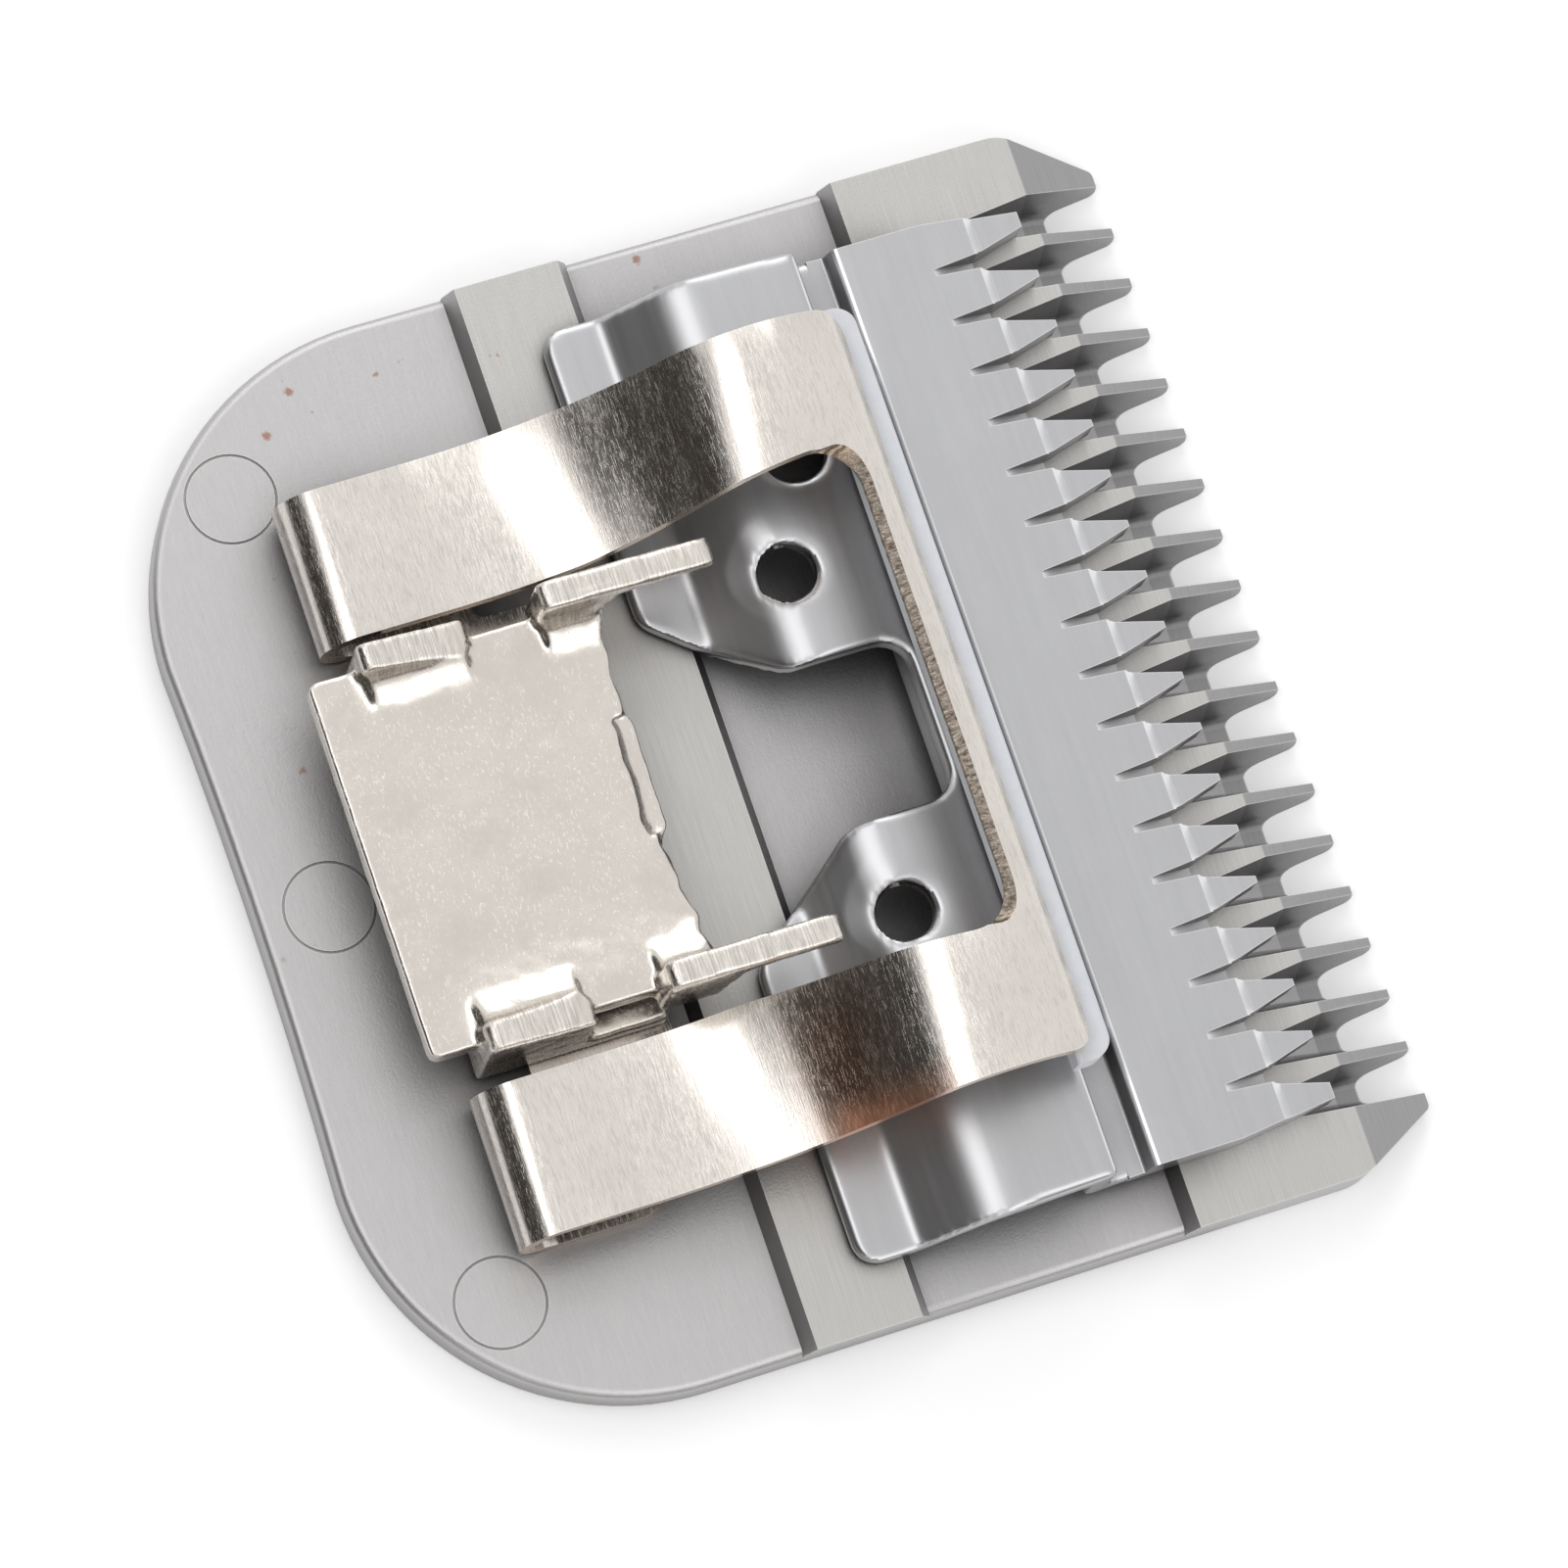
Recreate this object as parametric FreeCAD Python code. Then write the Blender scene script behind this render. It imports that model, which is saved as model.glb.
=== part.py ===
import FreeCAD, Part
import math
import os

# Detachable hair clipper blade, lying on its skin side with the clipper side up.
# X runs across the blade, +Y points to the tooth tips and +Z points up.
# The origin is the middle of the footprint, on the skin side. All sizes are in millimetres.
# Stations along Y are distances behind the bevel line, where the comb's teeth start to slope.

Vector = FreeCAD.Vector

# Comb: the fixed lower blade
comb_width = 50.4
comb_length = 48.1
comb_thickness = 3.1            # skin side to the ground rails
rail_height = 0.9               # rails above the matte floor
rail_wall_run = 0.5             # how far a rail wall leans out towards its foot
tooth_slope_length = 3.9        # bevel line to the tooth tips
tip_thickness = 0.8
front_rail_length = 8.5         # bevel line to the rear edge of the front rail
rear_rail_distance = 21.65      # to the front edge of the rear rail
rear_rail_width = 4.9
rear_corner_radius = 12.9
rear_hollow = 0.3               # depth of the shallow hollow in the back edge
comb_edge_round = 0.45

comb_tooth_count = 19
comb_tooth_pitch = 2.49
comb_gap_reach = 5.2            # where a gap's sloping floor leaves the rail, behind the bevel line
comb_gap_exit = 1.2             # where that floor leaves the skin side, ahead of the bevel line
comb_gap_half_width = 0.97      # at the bevel line, on the rail
comb_gap_taper = 0.112          # half width gained for each millimetre forwards
comb_gap_draft = 0.161          # half width lost for each millimetre down
comb_gap_rear_radius = 0.25      # round along the gap floor, at its rear end
comb_gap_front_radius = 0.5      # and at its front end
end_tooth_shoulder = 0.5        # where the outer side of an end tooth turns in
end_tooth_shoulder_radius = 2.4
end_tooth_tip_half_width = 0.5

mark_diameter = 4.2             # round ejector marks on the matte floor
mark_groove_width = 0.12
mark_groove_depth = 0.08
side_mark_spacing = 37.9
side_mark_from_back = 5.2
middle_mark_from_back = 3.6

# Cutter: the moving upper blade
cutter_rest_offset = 0.3        # sideways place in its stroke as it lies
cutter_running_gap = 0.02       # oil film under the cutter and under the guide
cutter_width = 43.9
cutter_bar_height = 1.9
cutter_tooth_height = 1.5
cutter_tip_setback = 1.15       # cutter tips behind the bevel line
tooth_step_distance = 3.3       # to the front of the small step across the teeth
tooth_step_run = 0.45
bar_rear_distance = 9.95
bar_edge_radius = 0.35
bar_end_distance = 5.8          # where the bar's ends start to curve in
bar_end_radius = 3.0
bar_end_taper = 0.55
channel_floor_height = 0.9
channel_wall_run = 0.3
channel_corner_radius = 0.2
platform_front_distance = 12.0
platform_height = 3.5
platform_thickness = 1.2
platform_front_wall = 1.1
platform_edge_radius = 0.2
platform_bend_distance = 17.6   # where the platform starts to bend down
platform_bend_radius = 4.5
wall_foot_distance = 21.1       # where the bend meets the feet
wall_foot_radius = 0.8
foot_rear_distance = 23.8
foot_height = 1.0
foot_edge_radius = 0.45
foot_width_gain = 0.25          # how far a foot stands out past the bar at each side
foot_corner_radius = 1.2
cavity_corner_radius = 1.2

cutter_tooth_count = 18
cutter_tooth_pitch = 2.45
cutter_tip_half_width = 0.15
cutter_gap_root_half_width = 0.4
cutter_gap_root_distance = 3.6
root_slot_end_distance = 5.8
root_slot_foot_distance = 3.1
root_slot_end_half_width = 0.15
root_slot_lap = 0.4             # how far a root slot runs into its gap

drive_slot_width = 7.5
drive_slot_front_distance = 13.2
drive_slot_corner_radius = 1.3
drive_flare_distance = 18.4     # where the slot starts to open towards the rear
drive_flare_rear_half_width = 8.2
drive_flare_radius = 1.5
lug_hole_diameter = 3.0
lug_hole_spacing = 16.1
lug_hole_distance = 17.1
lug_rim_chamfer = 0.12
outer_hole_diameter = 3.0
outer_hole_spacing = 26.5
outer_hole_distance = 15.05

# Spring: one bent strip with a base, two rear rolls, two arms and a cross bar
spring_thickness = 0.7
spring_width = 34.7
spring_rear_distance = 37.8     # to the back of the rolls
spring_roll_height = 3.9
arm_inner_half_width = 10.4
arm_inner_front_half_width = 11.35
arm_inner_bend_radius = 20.0
arm_rise_distance = 25.6        # corner where the arm turns up
arm_rise_angle = 42.0
arm_rise_radius = 17.0
arm_crest_distance = 16.85      # corner at the top of the arm
arm_crest_radius = 5.7
arm_fall_angle = 30.0
lip_distance = 13.0             # corner where the cross bar turns down
lip_radius = 1.2
lip_angle = 55.0
lip_length = 1.3
opening_front_distance = 13.9
opening_corner_radius = 2.0
sheared_edge_chamfer = 0.48     # leaning, rough cut at the front of the opening
sheared_cut_reach = 4.0         # length of the cutting shape for it, well past the strip
front_corner_radius = 1.2
base_front_distance = 28.0
base_side_front_distance = 30.4
base_rear_distance = 34.6       # rear edge of the base between the rolls
base_corner_radius = 1.5
base_step_radius = 0.5

# Guide: plastic rail between the cross bar and the channel of the cutter
guide_length = 35.4
guide_side_clearance = 0.08
guide_front_distance = 11.3     # front edge of its top
guide_rear_distance = 13.0
guide_shoulder_gap = 0.25       # over the platform
guide_foot_height = 0.6
guide_head_depth = 1.5          # below the head the guide is shorter
guide_end_undercut = 2.0
guide_end_radius = 1.0
guide_edge_radius = 0.2

# Socket: the plated bracket that takes the tongue of the clipper
socket_sheet = 1.3
socket_outer_width = 18.9
roof_width = 17.4
roof_rear_distance = 39.3
roof_front_distance = 26.1
roof_corner_radius = 0.4
tongue_slot_height = 2.1
socket_floor_thickness = 1.0
wall_rear_distance = 37.0
wall_front_distance = 28.2
notch_floor_height = 0.3        # low stretch of the wall between the ears, above the socket floor
rear_ear_front_distance = 32.0
rear_ear_rise = 1.8             # above the roof, at its rear end
rear_ear_front_rise = 0.7       # and at the notch
front_ear_rear_distance = 28.9
front_ear_tip_distance = 20.9
front_ear_rear_rise = 3.3
front_ear_tip_rise = 2.9
prong_depth = 0.8               # thickness of the front ear's prong
prong_root_distance = 25.2
ear_corner_radius = 0.5
ear_bend_radius = 1.8
ear_bend_inset = 0.25
burr_start = -3.4               # torn stretch of the roof's front edge
burr_end = 2.0
burr_setback = 0.6
burr_depth = 0.5
burr_reach = 0.15

# Screws: two countersunk screws from the skin side
screw_spacing = 11.0
screw_distance = 32.4
screw_diameter = 3.0
screw_head_diameter = 5.4
screw_head_height = 1.3
screw_head_sink = 0.12
screw_recess_width = 0.8
screw_recess_length = 3.0
screw_recess_depth = 0.8

# Levels and stations that follow from the sizes above
half_width = comb_width / 2
y_back = -comb_length / 2
y_tip = comb_length / 2
y_bevel = y_tip - tooth_slope_length
z_rail = comb_thickness
z_floor = comb_thickness - rail_height
z_ride = z_rail + cutter_running_gap
z_base_top = z_floor + spring_thickness
z_socket_floor = z_base_top + socket_floor_thickness
z_roof_bottom = z_socket_floor + tongue_slot_height
z_roof_top = z_roof_bottom + socket_sheet

margin = 1.0                    # how far cutting shapes reach past what they cut
smallest_edge = 1e-7


def behind(distance):
    """Y of a station that lies a distance behind the bevel line."""
    return y_bevel - distance


def on_plan(x, y):
    return Vector(x, y, 0)


def on_section(y, z):
    return Vector(0, y, z)


def rounded_wire(corners, place):
    """Closed wire through (u, v, radius) corners; a corner's arc takes at most half of each side."""
    points = [place(u, v) for u, v, _ in corners]
    count = len(corners)
    starts = []
    ends = []
    middles = []
    for index in range(count):
        here = points[index]
        radius = corners[index][2]
        if radius <= 0:
            starts.append(here)
            ends.append(here)
            middles.append(None)
            continue
        back = points[index - 1] - here
        ahead = points[(index + 1) % count] - here
        room = min(back.Length, ahead.Length) / 2
        half_angle = back.getAngle(ahead) / 2
        reach = min(radius / math.tan(half_angle), room)
        radius = reach * math.tan(half_angle)
        back.normalize()
        ahead.normalize()
        bisector = (back + ahead).normalize()
        starts.append(here + back * reach)
        ends.append(here + ahead * reach)
        middles.append(here + bisector * (radius / math.sin(half_angle) - radius))
    edges = []
    for index in range(count):
        following = (index + 1) % count
        if middles[index] is not None:
            edges.append(Part.Arc(starts[index], middles[index], ends[index]).toShape())
        if (starts[following] - ends[index]).Length > smallest_edge:
            edges.append(Part.LineSegment(ends[index], starts[following]).toShape())
    return Part.Wire(edges)


def plan_prism(corners, z_low, z_high):
    """Upright solid over a rounded outline given as (x, y, radius)."""
    face = Part.Face(rounded_wire(corners, on_plan))
    face.translate(Vector(0, 0, z_low))
    return face.extrude(Vector(0, 0, z_high - z_low))


def section_prism(corners, x_low, x_high):
    """Solid along X over a section given as (y, z, radius)."""
    face = Part.Face(rounded_wire(corners, on_section))
    face.translate(Vector(x_low, 0, 0))
    return face.extrude(Vector(x_high - x_low, 0, 0))


def box(x_low, x_high, y_low, y_high, z_low, z_high):
    corner = Vector(x_low, y_low, z_low)
    return Part.makeBox(x_high - x_low, y_high - y_low, z_high - z_low, corner)


def upright_cylinder(radius, x, y, z_low, z_high):
    return Part.makeCylinder(radius, z_high - z_low, Vector(x, y, z_low))


def mirrored(shape):
    """The same shape on the other side of the blade's middle plane."""
    return shape.mirror(Vector(0, 0, 0), Vector(1, 0, 0))


def gap_wedge(half_width_at, rear_at, y_front, z_low, z_high):
    """Wedge on the middle plane that clears one tooth gap, with flat walls and a sloping rear."""
    rings = []
    for z in (z_low, z_high):
        rear = rear_at(z)
        rear_half = half_width_at(rear, z)
        front_half = half_width_at(y_front, z)
        rings.append([
            Vector(-rear_half, rear, z),
            Vector(rear_half, rear, z),
            Vector(front_half, y_front, z),
            Vector(-front_half, y_front, z),
        ])
    low, high = rings
    outlines = [low, high]
    for index in range(4):
        after = (index + 1) % 4
        outlines.append([low[index], low[after], high[after], high[index]])
    shell = Part.makeShell([Part.Face(Part.makePolygon(ring + [ring[0]])) for ring in outlines])
    shell.sewShape()
    return Part.makeSolid(shell)


def gap_row(wedge, tooth_count, pitch):
    """The wedge at every gap between evenly pitched teeth."""
    first = -(tooth_count - 2) / 2 * pitch
    row = []
    for index in range(tooth_count - 1):
        copy = wedge.copy()
        copy.translate(Vector(first + index * pitch, 0, 0))
        row.append(copy)
    return row


def comb_outline():
    """Plan of the comb: round rear corners, a hollow back edge and slanted end teeth."""
    tip_x = (comb_tooth_count - 1) / 2 * comb_tooth_pitch + end_tooth_tip_half_width
    tip_radius = end_tooth_tip_half_width * 0.7
    y_shoulder = behind(end_tooth_shoulder)
    outline = Part.Face(rounded_wire([
        (half_width, y_back, rear_corner_radius),
        (half_width, y_shoulder, end_tooth_shoulder_radius),
        (tip_x, y_tip, tip_radius),
        (-tip_x, y_tip, tip_radius),
        (-half_width, y_shoulder, end_tooth_shoulder_radius),
        (-half_width, y_back, rear_corner_radius),
    ], on_plan))
    half_chord = half_width - rear_corner_radius
    hollow_radius = (half_chord ** 2 + rear_hollow ** 2) / (2 * rear_hollow)
    centre = on_plan(0, y_back + rear_hollow - hollow_radius)
    hollow = Part.Face(Part.Wire(Part.Circle(centre, Vector(0, 0, 1), hollow_radius).toShape()))
    return outline.cut(hollow).Faces[0]


def comb_gap():
    """One ground gap: its floor slopes from the rail down to the skin side, with rounded corners."""
    slope = (comb_gap_reach + comb_gap_exit) / z_rail

    def half_width_at(y, z):
        return comb_gap_half_width + comb_gap_taper * (y - y_bevel) + comb_gap_draft * (z - z_rail)

    def rear_at(z):
        return y_bevel + comb_gap_exit - slope * z

    z_low = -margin / 2
    z_high = z_rail + margin / 2
    wedge = gap_wedge(half_width_at, rear_at, y_tip + margin, z_low, z_high)
    y_floor_front = rear_at(z_low) + margin / 2
    floor_edges = [
        edge for edge in wedge.Edges
        if edge.BoundBox.ZLength > z_rail and edge.BoundBox.YMax < y_floor_front
    ]
    return wedge.makeFillet(comb_gap_rear_radius, comb_gap_front_radius, floor_edges)


def make_comb():
    """Fixed lower blade: plate, two ground rails, nineteen teeth, marks and screw holes."""
    outline = comb_outline()
    plate = outline.extrude(Vector(0, 0, z_floor))
    perimeter = [edge for edge in plate.Edges if edge.BoundBox.ZLength < smallest_edge]
    comb = plate.makeFillet(comb_edge_round, perimeter)

    full_height = outline.extrude(Vector(0, 0, z_rail))
    z_root = z_floor - comb_edge_round
    x_past = half_width + margin
    rear_rail_rear = behind(rear_rail_distance + rear_rail_width)
    rail_stations = [
        (rear_rail_rear, behind(rear_rail_distance), rail_wall_run),
        (behind(front_rail_length), y_tip + margin, 0.0),
    ]
    for y_rear, y_front, front_run in rail_stations:
        rail = section_prism([
            (y_rear - rail_wall_run, z_root, 0.0),
            (y_rear - rail_wall_run, z_floor, 0.0),
            (y_rear, z_rail, 0.0),
            (y_front, z_rail, 0.0),
            (y_front + front_run, z_floor, 0.0),
            (y_front + front_run, z_root, 0.0),
        ], -x_past, x_past)
        comb = comb.fuse(rail.common(full_height))

    slope = (z_rail - tip_thickness) / tooth_slope_length
    over_slope = section_prism([
        (y_bevel, z_rail, 0.0),
        (y_tip + margin, tip_thickness - slope * margin, 0.0),
        (y_tip + margin, z_rail + margin, 0.0),
        (y_bevel, z_rail + margin, 0.0),
    ], -x_past, x_past)
    comb = comb.cut(over_slope)
    comb = comb.cut(gap_row(comb_gap(), comb_tooth_count, comb_tooth_pitch))

    marks = [
        (-side_mark_spacing / 2, y_back + side_mark_from_back),
        (side_mark_spacing / 2, y_back + side_mark_from_back),
        (0.0, y_back + middle_mark_from_back),
    ]
    outer = mark_diameter / 2
    z_groove = z_floor - mark_groove_depth
    for x, y in marks:
        ring = upright_cylinder(outer, x, y, z_groove, z_floor + margin)
        core = upright_cylinder(outer - mark_groove_width, x, y, z_groove, z_floor + margin)
        comb = comb.cut(ring.cut(core))

    holes = [screw_envelope(x, -margin, z_floor + margin) for x in screw_places()]
    return comb.cut(holes).removeSplitter()


def screw_places():
    return [-screw_spacing / 2, screw_spacing / 2]


def screw_envelope(x, z_low, z_top):
    """Countersunk screw shape about an upright axis, with its head drawn out down to z_low."""
    y = behind(screw_distance)
    head_radius = screw_head_diameter / 2
    shank_radius = screw_diameter / 2
    head = upright_cylinder(head_radius, x, y, z_low, screw_head_sink)
    base = Vector(x, y, screw_head_sink)
    cone = Part.makeCone(head_radius, shank_radius, screw_head_height, base)
    shank = upright_cylinder(shank_radius, x, y, screw_head_sink, z_top)
    return head.fuse([cone, shank])


def make_screws():
    """Two screws in one group, each with a cross recess in its sunk head."""
    y = behind(screw_distance)
    half_slot = screw_recess_width / 2
    half_length = screw_recess_length / 2
    z_recess = screw_head_sink + screw_recess_depth
    reach = screw_head_diameter
    screws = []
    for x in screw_places():
        below = box(x - reach, x + reach, y - reach, y + reach, -2 * margin, screw_head_sink)
        along_x = box(x - half_length, x + half_length, y - half_slot, y + half_slot, 0.0, z_recess)
        along_y = box(x - half_slot, x + half_slot, y - half_length, y + half_length, 0.0, z_recess)
        screw = screw_envelope(x, -margin, z_socket_floor).cut([below, along_x, along_y])
        screws.append(screw.removeSplitter())
    return Part.makeCompound(screws)


def cutter_section():
    """Section of the cutter across its bar, channel, platform and foot, hollow underneath."""
    z_bar = z_rail + cutter_bar_height
    z_tooth = z_rail + cutter_tooth_height
    z_channel = z_rail + channel_floor_height
    z_platform = z_rail + platform_height
    z_under = z_platform - platform_thickness
    z_foot = z_rail + foot_height
    y_platform = behind(platform_front_distance)
    y_cavity = y_platform - platform_front_wall
    y_bend = behind(platform_bend_distance)
    y_wall = behind(wall_foot_distance)
    y_foot = behind(foot_rear_distance)
    return [
        (behind(cutter_tip_setback), z_ride, 0.0),
        (behind(cutter_tip_setback), z_tooth, 0.0),
        (behind(tooth_step_distance), z_tooth, 0.0),
        (behind(tooth_step_distance + tooth_step_run), z_bar, 0.0),
        (behind(bar_rear_distance), z_bar, bar_edge_radius),
        (behind(bar_rear_distance + channel_wall_run), z_channel, channel_corner_radius),
        (y_platform, z_channel, 0.0),
        (y_platform, z_platform, platform_edge_radius),
        (y_bend, z_platform, platform_bend_radius),
        (y_wall, z_foot, wall_foot_radius),
        (y_foot, z_foot, foot_edge_radius),
        (y_foot, z_ride, foot_edge_radius),
        (y_wall, z_ride, 0.0),
        (y_bend, z_under, cavity_corner_radius),
        (y_cavity, z_under, channel_corner_radius),
        (y_cavity, z_ride, 0.0),
    ]


def cutter_outline():
    """Plan of the cutter: straight bar with curved ends, wider feet and the flared drive slot."""
    half = cutter_width / 2
    foot_half = half + foot_width_gain
    slot_half = drive_slot_width / 2
    y_foot = behind(foot_rear_distance)
    right = [
        (slot_half, behind(drive_slot_front_distance), drive_slot_corner_radius),
        (slot_half, behind(drive_flare_distance), drive_flare_radius),
        (drive_flare_rear_half_width, y_foot, drive_flare_radius),
        (foot_half, y_foot, foot_corner_radius),
        (foot_half, behind(platform_bend_distance), 0.0),
        (half, behind(bar_rear_distance), 0.0),
        (half, behind(bar_end_distance), bar_end_radius),
        (half - bar_end_taper, behind(cutter_tip_setback), 0.0),
    ]
    left = [(-x, y, radius) for x, y, radius in reversed(right)]
    return right + left


def cutter_gaps():
    """Tooth gaps of the cutter, each with a narrow root slot that slopes up and out at the rear."""
    z_bar = z_rail + cutter_bar_height
    tip_half = cutter_tooth_pitch / 2 - cutter_tip_half_width
    gap_length = cutter_gap_root_distance - cutter_tip_setback
    gap_taper = (tip_half - cutter_gap_root_half_width) / gap_length
    slot_length = root_slot_end_distance - root_slot_foot_distance
    slot_taper = (cutter_gap_root_half_width - root_slot_end_half_width) / slot_length

    def gap_half_at(y, z):
        return cutter_gap_root_half_width + gap_taper * (y - behind(cutter_gap_root_distance))

    def gap_rear_at(z):
        return behind(cutter_gap_root_distance)

    def slot_half_at(y, z):
        return root_slot_end_half_width + slot_taper * (y - behind(root_slot_end_distance))

    def slot_rear_at(z):
        return behind(root_slot_end_distance) + slot_length * (z_bar - z) / cutter_bar_height

    lap = margin / 4
    z_low = z_rail - lap
    z_high = z_bar + lap
    y_slot_front = behind(root_slot_foot_distance) + root_slot_lap
    gap = gap_wedge(gap_half_at, gap_rear_at, behind(cutter_tip_setback) + lap, z_low, z_high)
    slot = gap_wedge(slot_half_at, slot_rear_at, y_slot_front, z_low, z_high)
    rows = []
    for wedge in (gap, slot):
        rows += gap_row(wedge, cutter_tooth_count, cutter_tooth_pitch)
    return rows


def make_cutter():
    """Moving upper blade: toothed bar, channel, platform with drive slot, and rear feet."""
    foot_half = cutter_width / 2 + foot_width_gain
    z_platform = z_rail + platform_height
    z_over = z_platform + margin
    body = section_prism(cutter_section(), -foot_half, foot_half)
    body = body.common(plan_prism(cutter_outline(), z_rail - margin, z_over))

    lug_radius = lug_hole_diameter / 2
    outer_radius = outer_hole_diameter / 2
    y_lug = behind(lug_hole_distance)
    y_outer = behind(outer_hole_distance)
    z_rim = z_platform - lug_rim_chamfer
    rim_radius = lug_radius + lug_rim_chamfer
    holes = []
    for side in (-1, 1):
        x_lug = side * lug_hole_spacing / 2
        x_outer = side * outer_hole_spacing / 2
        rim_base = Vector(x_lug, y_lug, z_rim)
        holes.append(upright_cylinder(lug_radius, x_lug, y_lug, z_rail, z_over))
        holes.append(Part.makeCone(lug_radius, rim_radius, lug_rim_chamfer, rim_base))
        holes.append(upright_cylinder(outer_radius, x_outer, y_outer, z_rail, z_over))
    body = body.cut(holes)
    body = body.cut(cutter_gaps()).removeSplitter()
    body.translate(Vector(cutter_rest_offset, 0, 0))
    return body


def bent_strip(path, thickness):
    """Face of even thickness about a path of (y, z, bend radius) points in the YZ plane."""
    points = [on_section(y, z) for y, z, _ in path]
    directions = [(after - before).normalize() for before, after in zip(points, points[1:])]
    normals = [Vector(0, -direction.z, direction.y) for direction in directions]
    edges = []
    outer_ends = []
    for side in (1, -1):
        offset = side * thickness / 2
        first = points[0] + normals[0] * offset
        last = first
        for index in range(1, len(points) - 1):
            before = directions[index - 1]
            after = directions[index]
            radius = path[index][2]
            reach = radius * math.tan(before.getAngle(after) / 2)
            turn = 1 if before.y * after.z - before.z * after.y > 0 else -1
            start = points[index] - before * reach
            centre = start + normals[index - 1] * (radius * turn)
            to_corner = (points[index] - centre).normalize()
            arc_start = start + normals[index - 1] * offset
            arc_end = points[index] + after * reach + normals[index] * offset
            arc_middle = centre + to_corner * (radius - turn * offset)
            if (arc_start - last).Length > smallest_edge:
                edges.append(Part.LineSegment(last, arc_start).toShape())
            edges.append(Part.Arc(arc_start, arc_middle, arc_end).toShape())
            last = arc_end
        end = points[-1] + normals[-1] * offset
        edges.append(Part.LineSegment(last, end).toShape())
        outer_ends.append((first, end))
    (first_a, end_a), (first_b, end_b) = outer_ends
    edges.append(Part.LineSegment(first_a, first_b).toShape())
    edges.append(Part.LineSegment(end_a, end_b).toShape())
    return Part.Face(Part.Wire(Part.sortEdges(edges)[0]))


def bend_in_room(radius, turn, room):
    """Radius of a bend, no larger than the straight length its arc may take up allows."""
    return min(radius, room / math.tan(turn / 2))


def spring_path():
    """Middle line of the spring from the front of its base to the end of the lip."""
    half_sheet = spring_thickness / 2
    z_base = z_floor + half_sheet
    z_arm = z_floor + spring_roll_height - half_sheet
    y_roll = behind(spring_rear_distance) + half_sheet
    roll_radius = (z_arm - z_base) / 2
    rise_turn = math.radians(arm_rise_angle)
    fall_turn = math.radians(arm_fall_angle)
    y_rise = behind(arm_rise_distance)
    y_crest = behind(arm_crest_distance)
    z_crest = z_arm + math.tan(rise_turn) * (y_crest - y_rise)
    y_lip = behind(lip_distance)
    z_lip = z_crest - math.tan(fall_turn) * (y_lip - y_crest)
    rising_side = (y_crest - y_rise) / math.cos(rise_turn)
    falling_side = (y_lip - y_crest) / math.cos(fall_turn)
    lip_arc_side = lip_radius * math.tan((math.radians(lip_angle) - fall_turn) / 2)
    crest_turn = rise_turn + fall_turn
    crest_room = min(rising_side / 2, falling_side - lip_arc_side)
    crest_radius = bend_in_room(arm_crest_radius, crest_turn, crest_room)
    rise_room = rising_side - crest_radius * math.tan(crest_turn / 2)
    rise_radius = bend_in_room(arm_rise_radius, rise_turn, rise_room)
    y_end = y_lip + lip_length * math.cos(math.radians(lip_angle))
    z_end = z_lip - lip_length * math.sin(math.radians(lip_angle))
    return [
        (behind(base_front_distance), z_base, 0.0),
        (y_roll, z_base, roll_radius),
        (y_roll, z_arm, roll_radius),
        (y_rise, z_arm, rise_radius),
        (y_crest, z_crest, crest_radius),
        (y_lip, z_lip, lip_radius),
        (y_end, z_end, 0.0),
    ]


def lip_contact_height():
    """Height of the lowest edge of the lip, which presses on the guide."""
    z_end = spring_path()[-1][1]
    return z_end - spring_thickness / 2 * math.cos(math.radians(lip_angle))


def sheared_front(opening, y_opening):
    """Cutting shape that leans forward over the opening's front edge, where the cut is torn."""
    fall = math.radians(arm_fall_angle)
    y_crest, z_crest, _ = spring_path()[-3]
    z_middle = z_crest - math.tan(fall) * (y_opening - y_crest)
    z_edge = z_middle + spring_thickness / 2 / math.cos(fall)
    face = Part.Face(rounded_wire(opening, on_plan))
    face.translate(Vector(0, 0, z_edge - sheared_edge_chamfer))
    lean = Vector(0, math.cos(fall), 1 - math.sin(fall))
    return face.extrude(lean * sheared_cut_reach)


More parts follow.
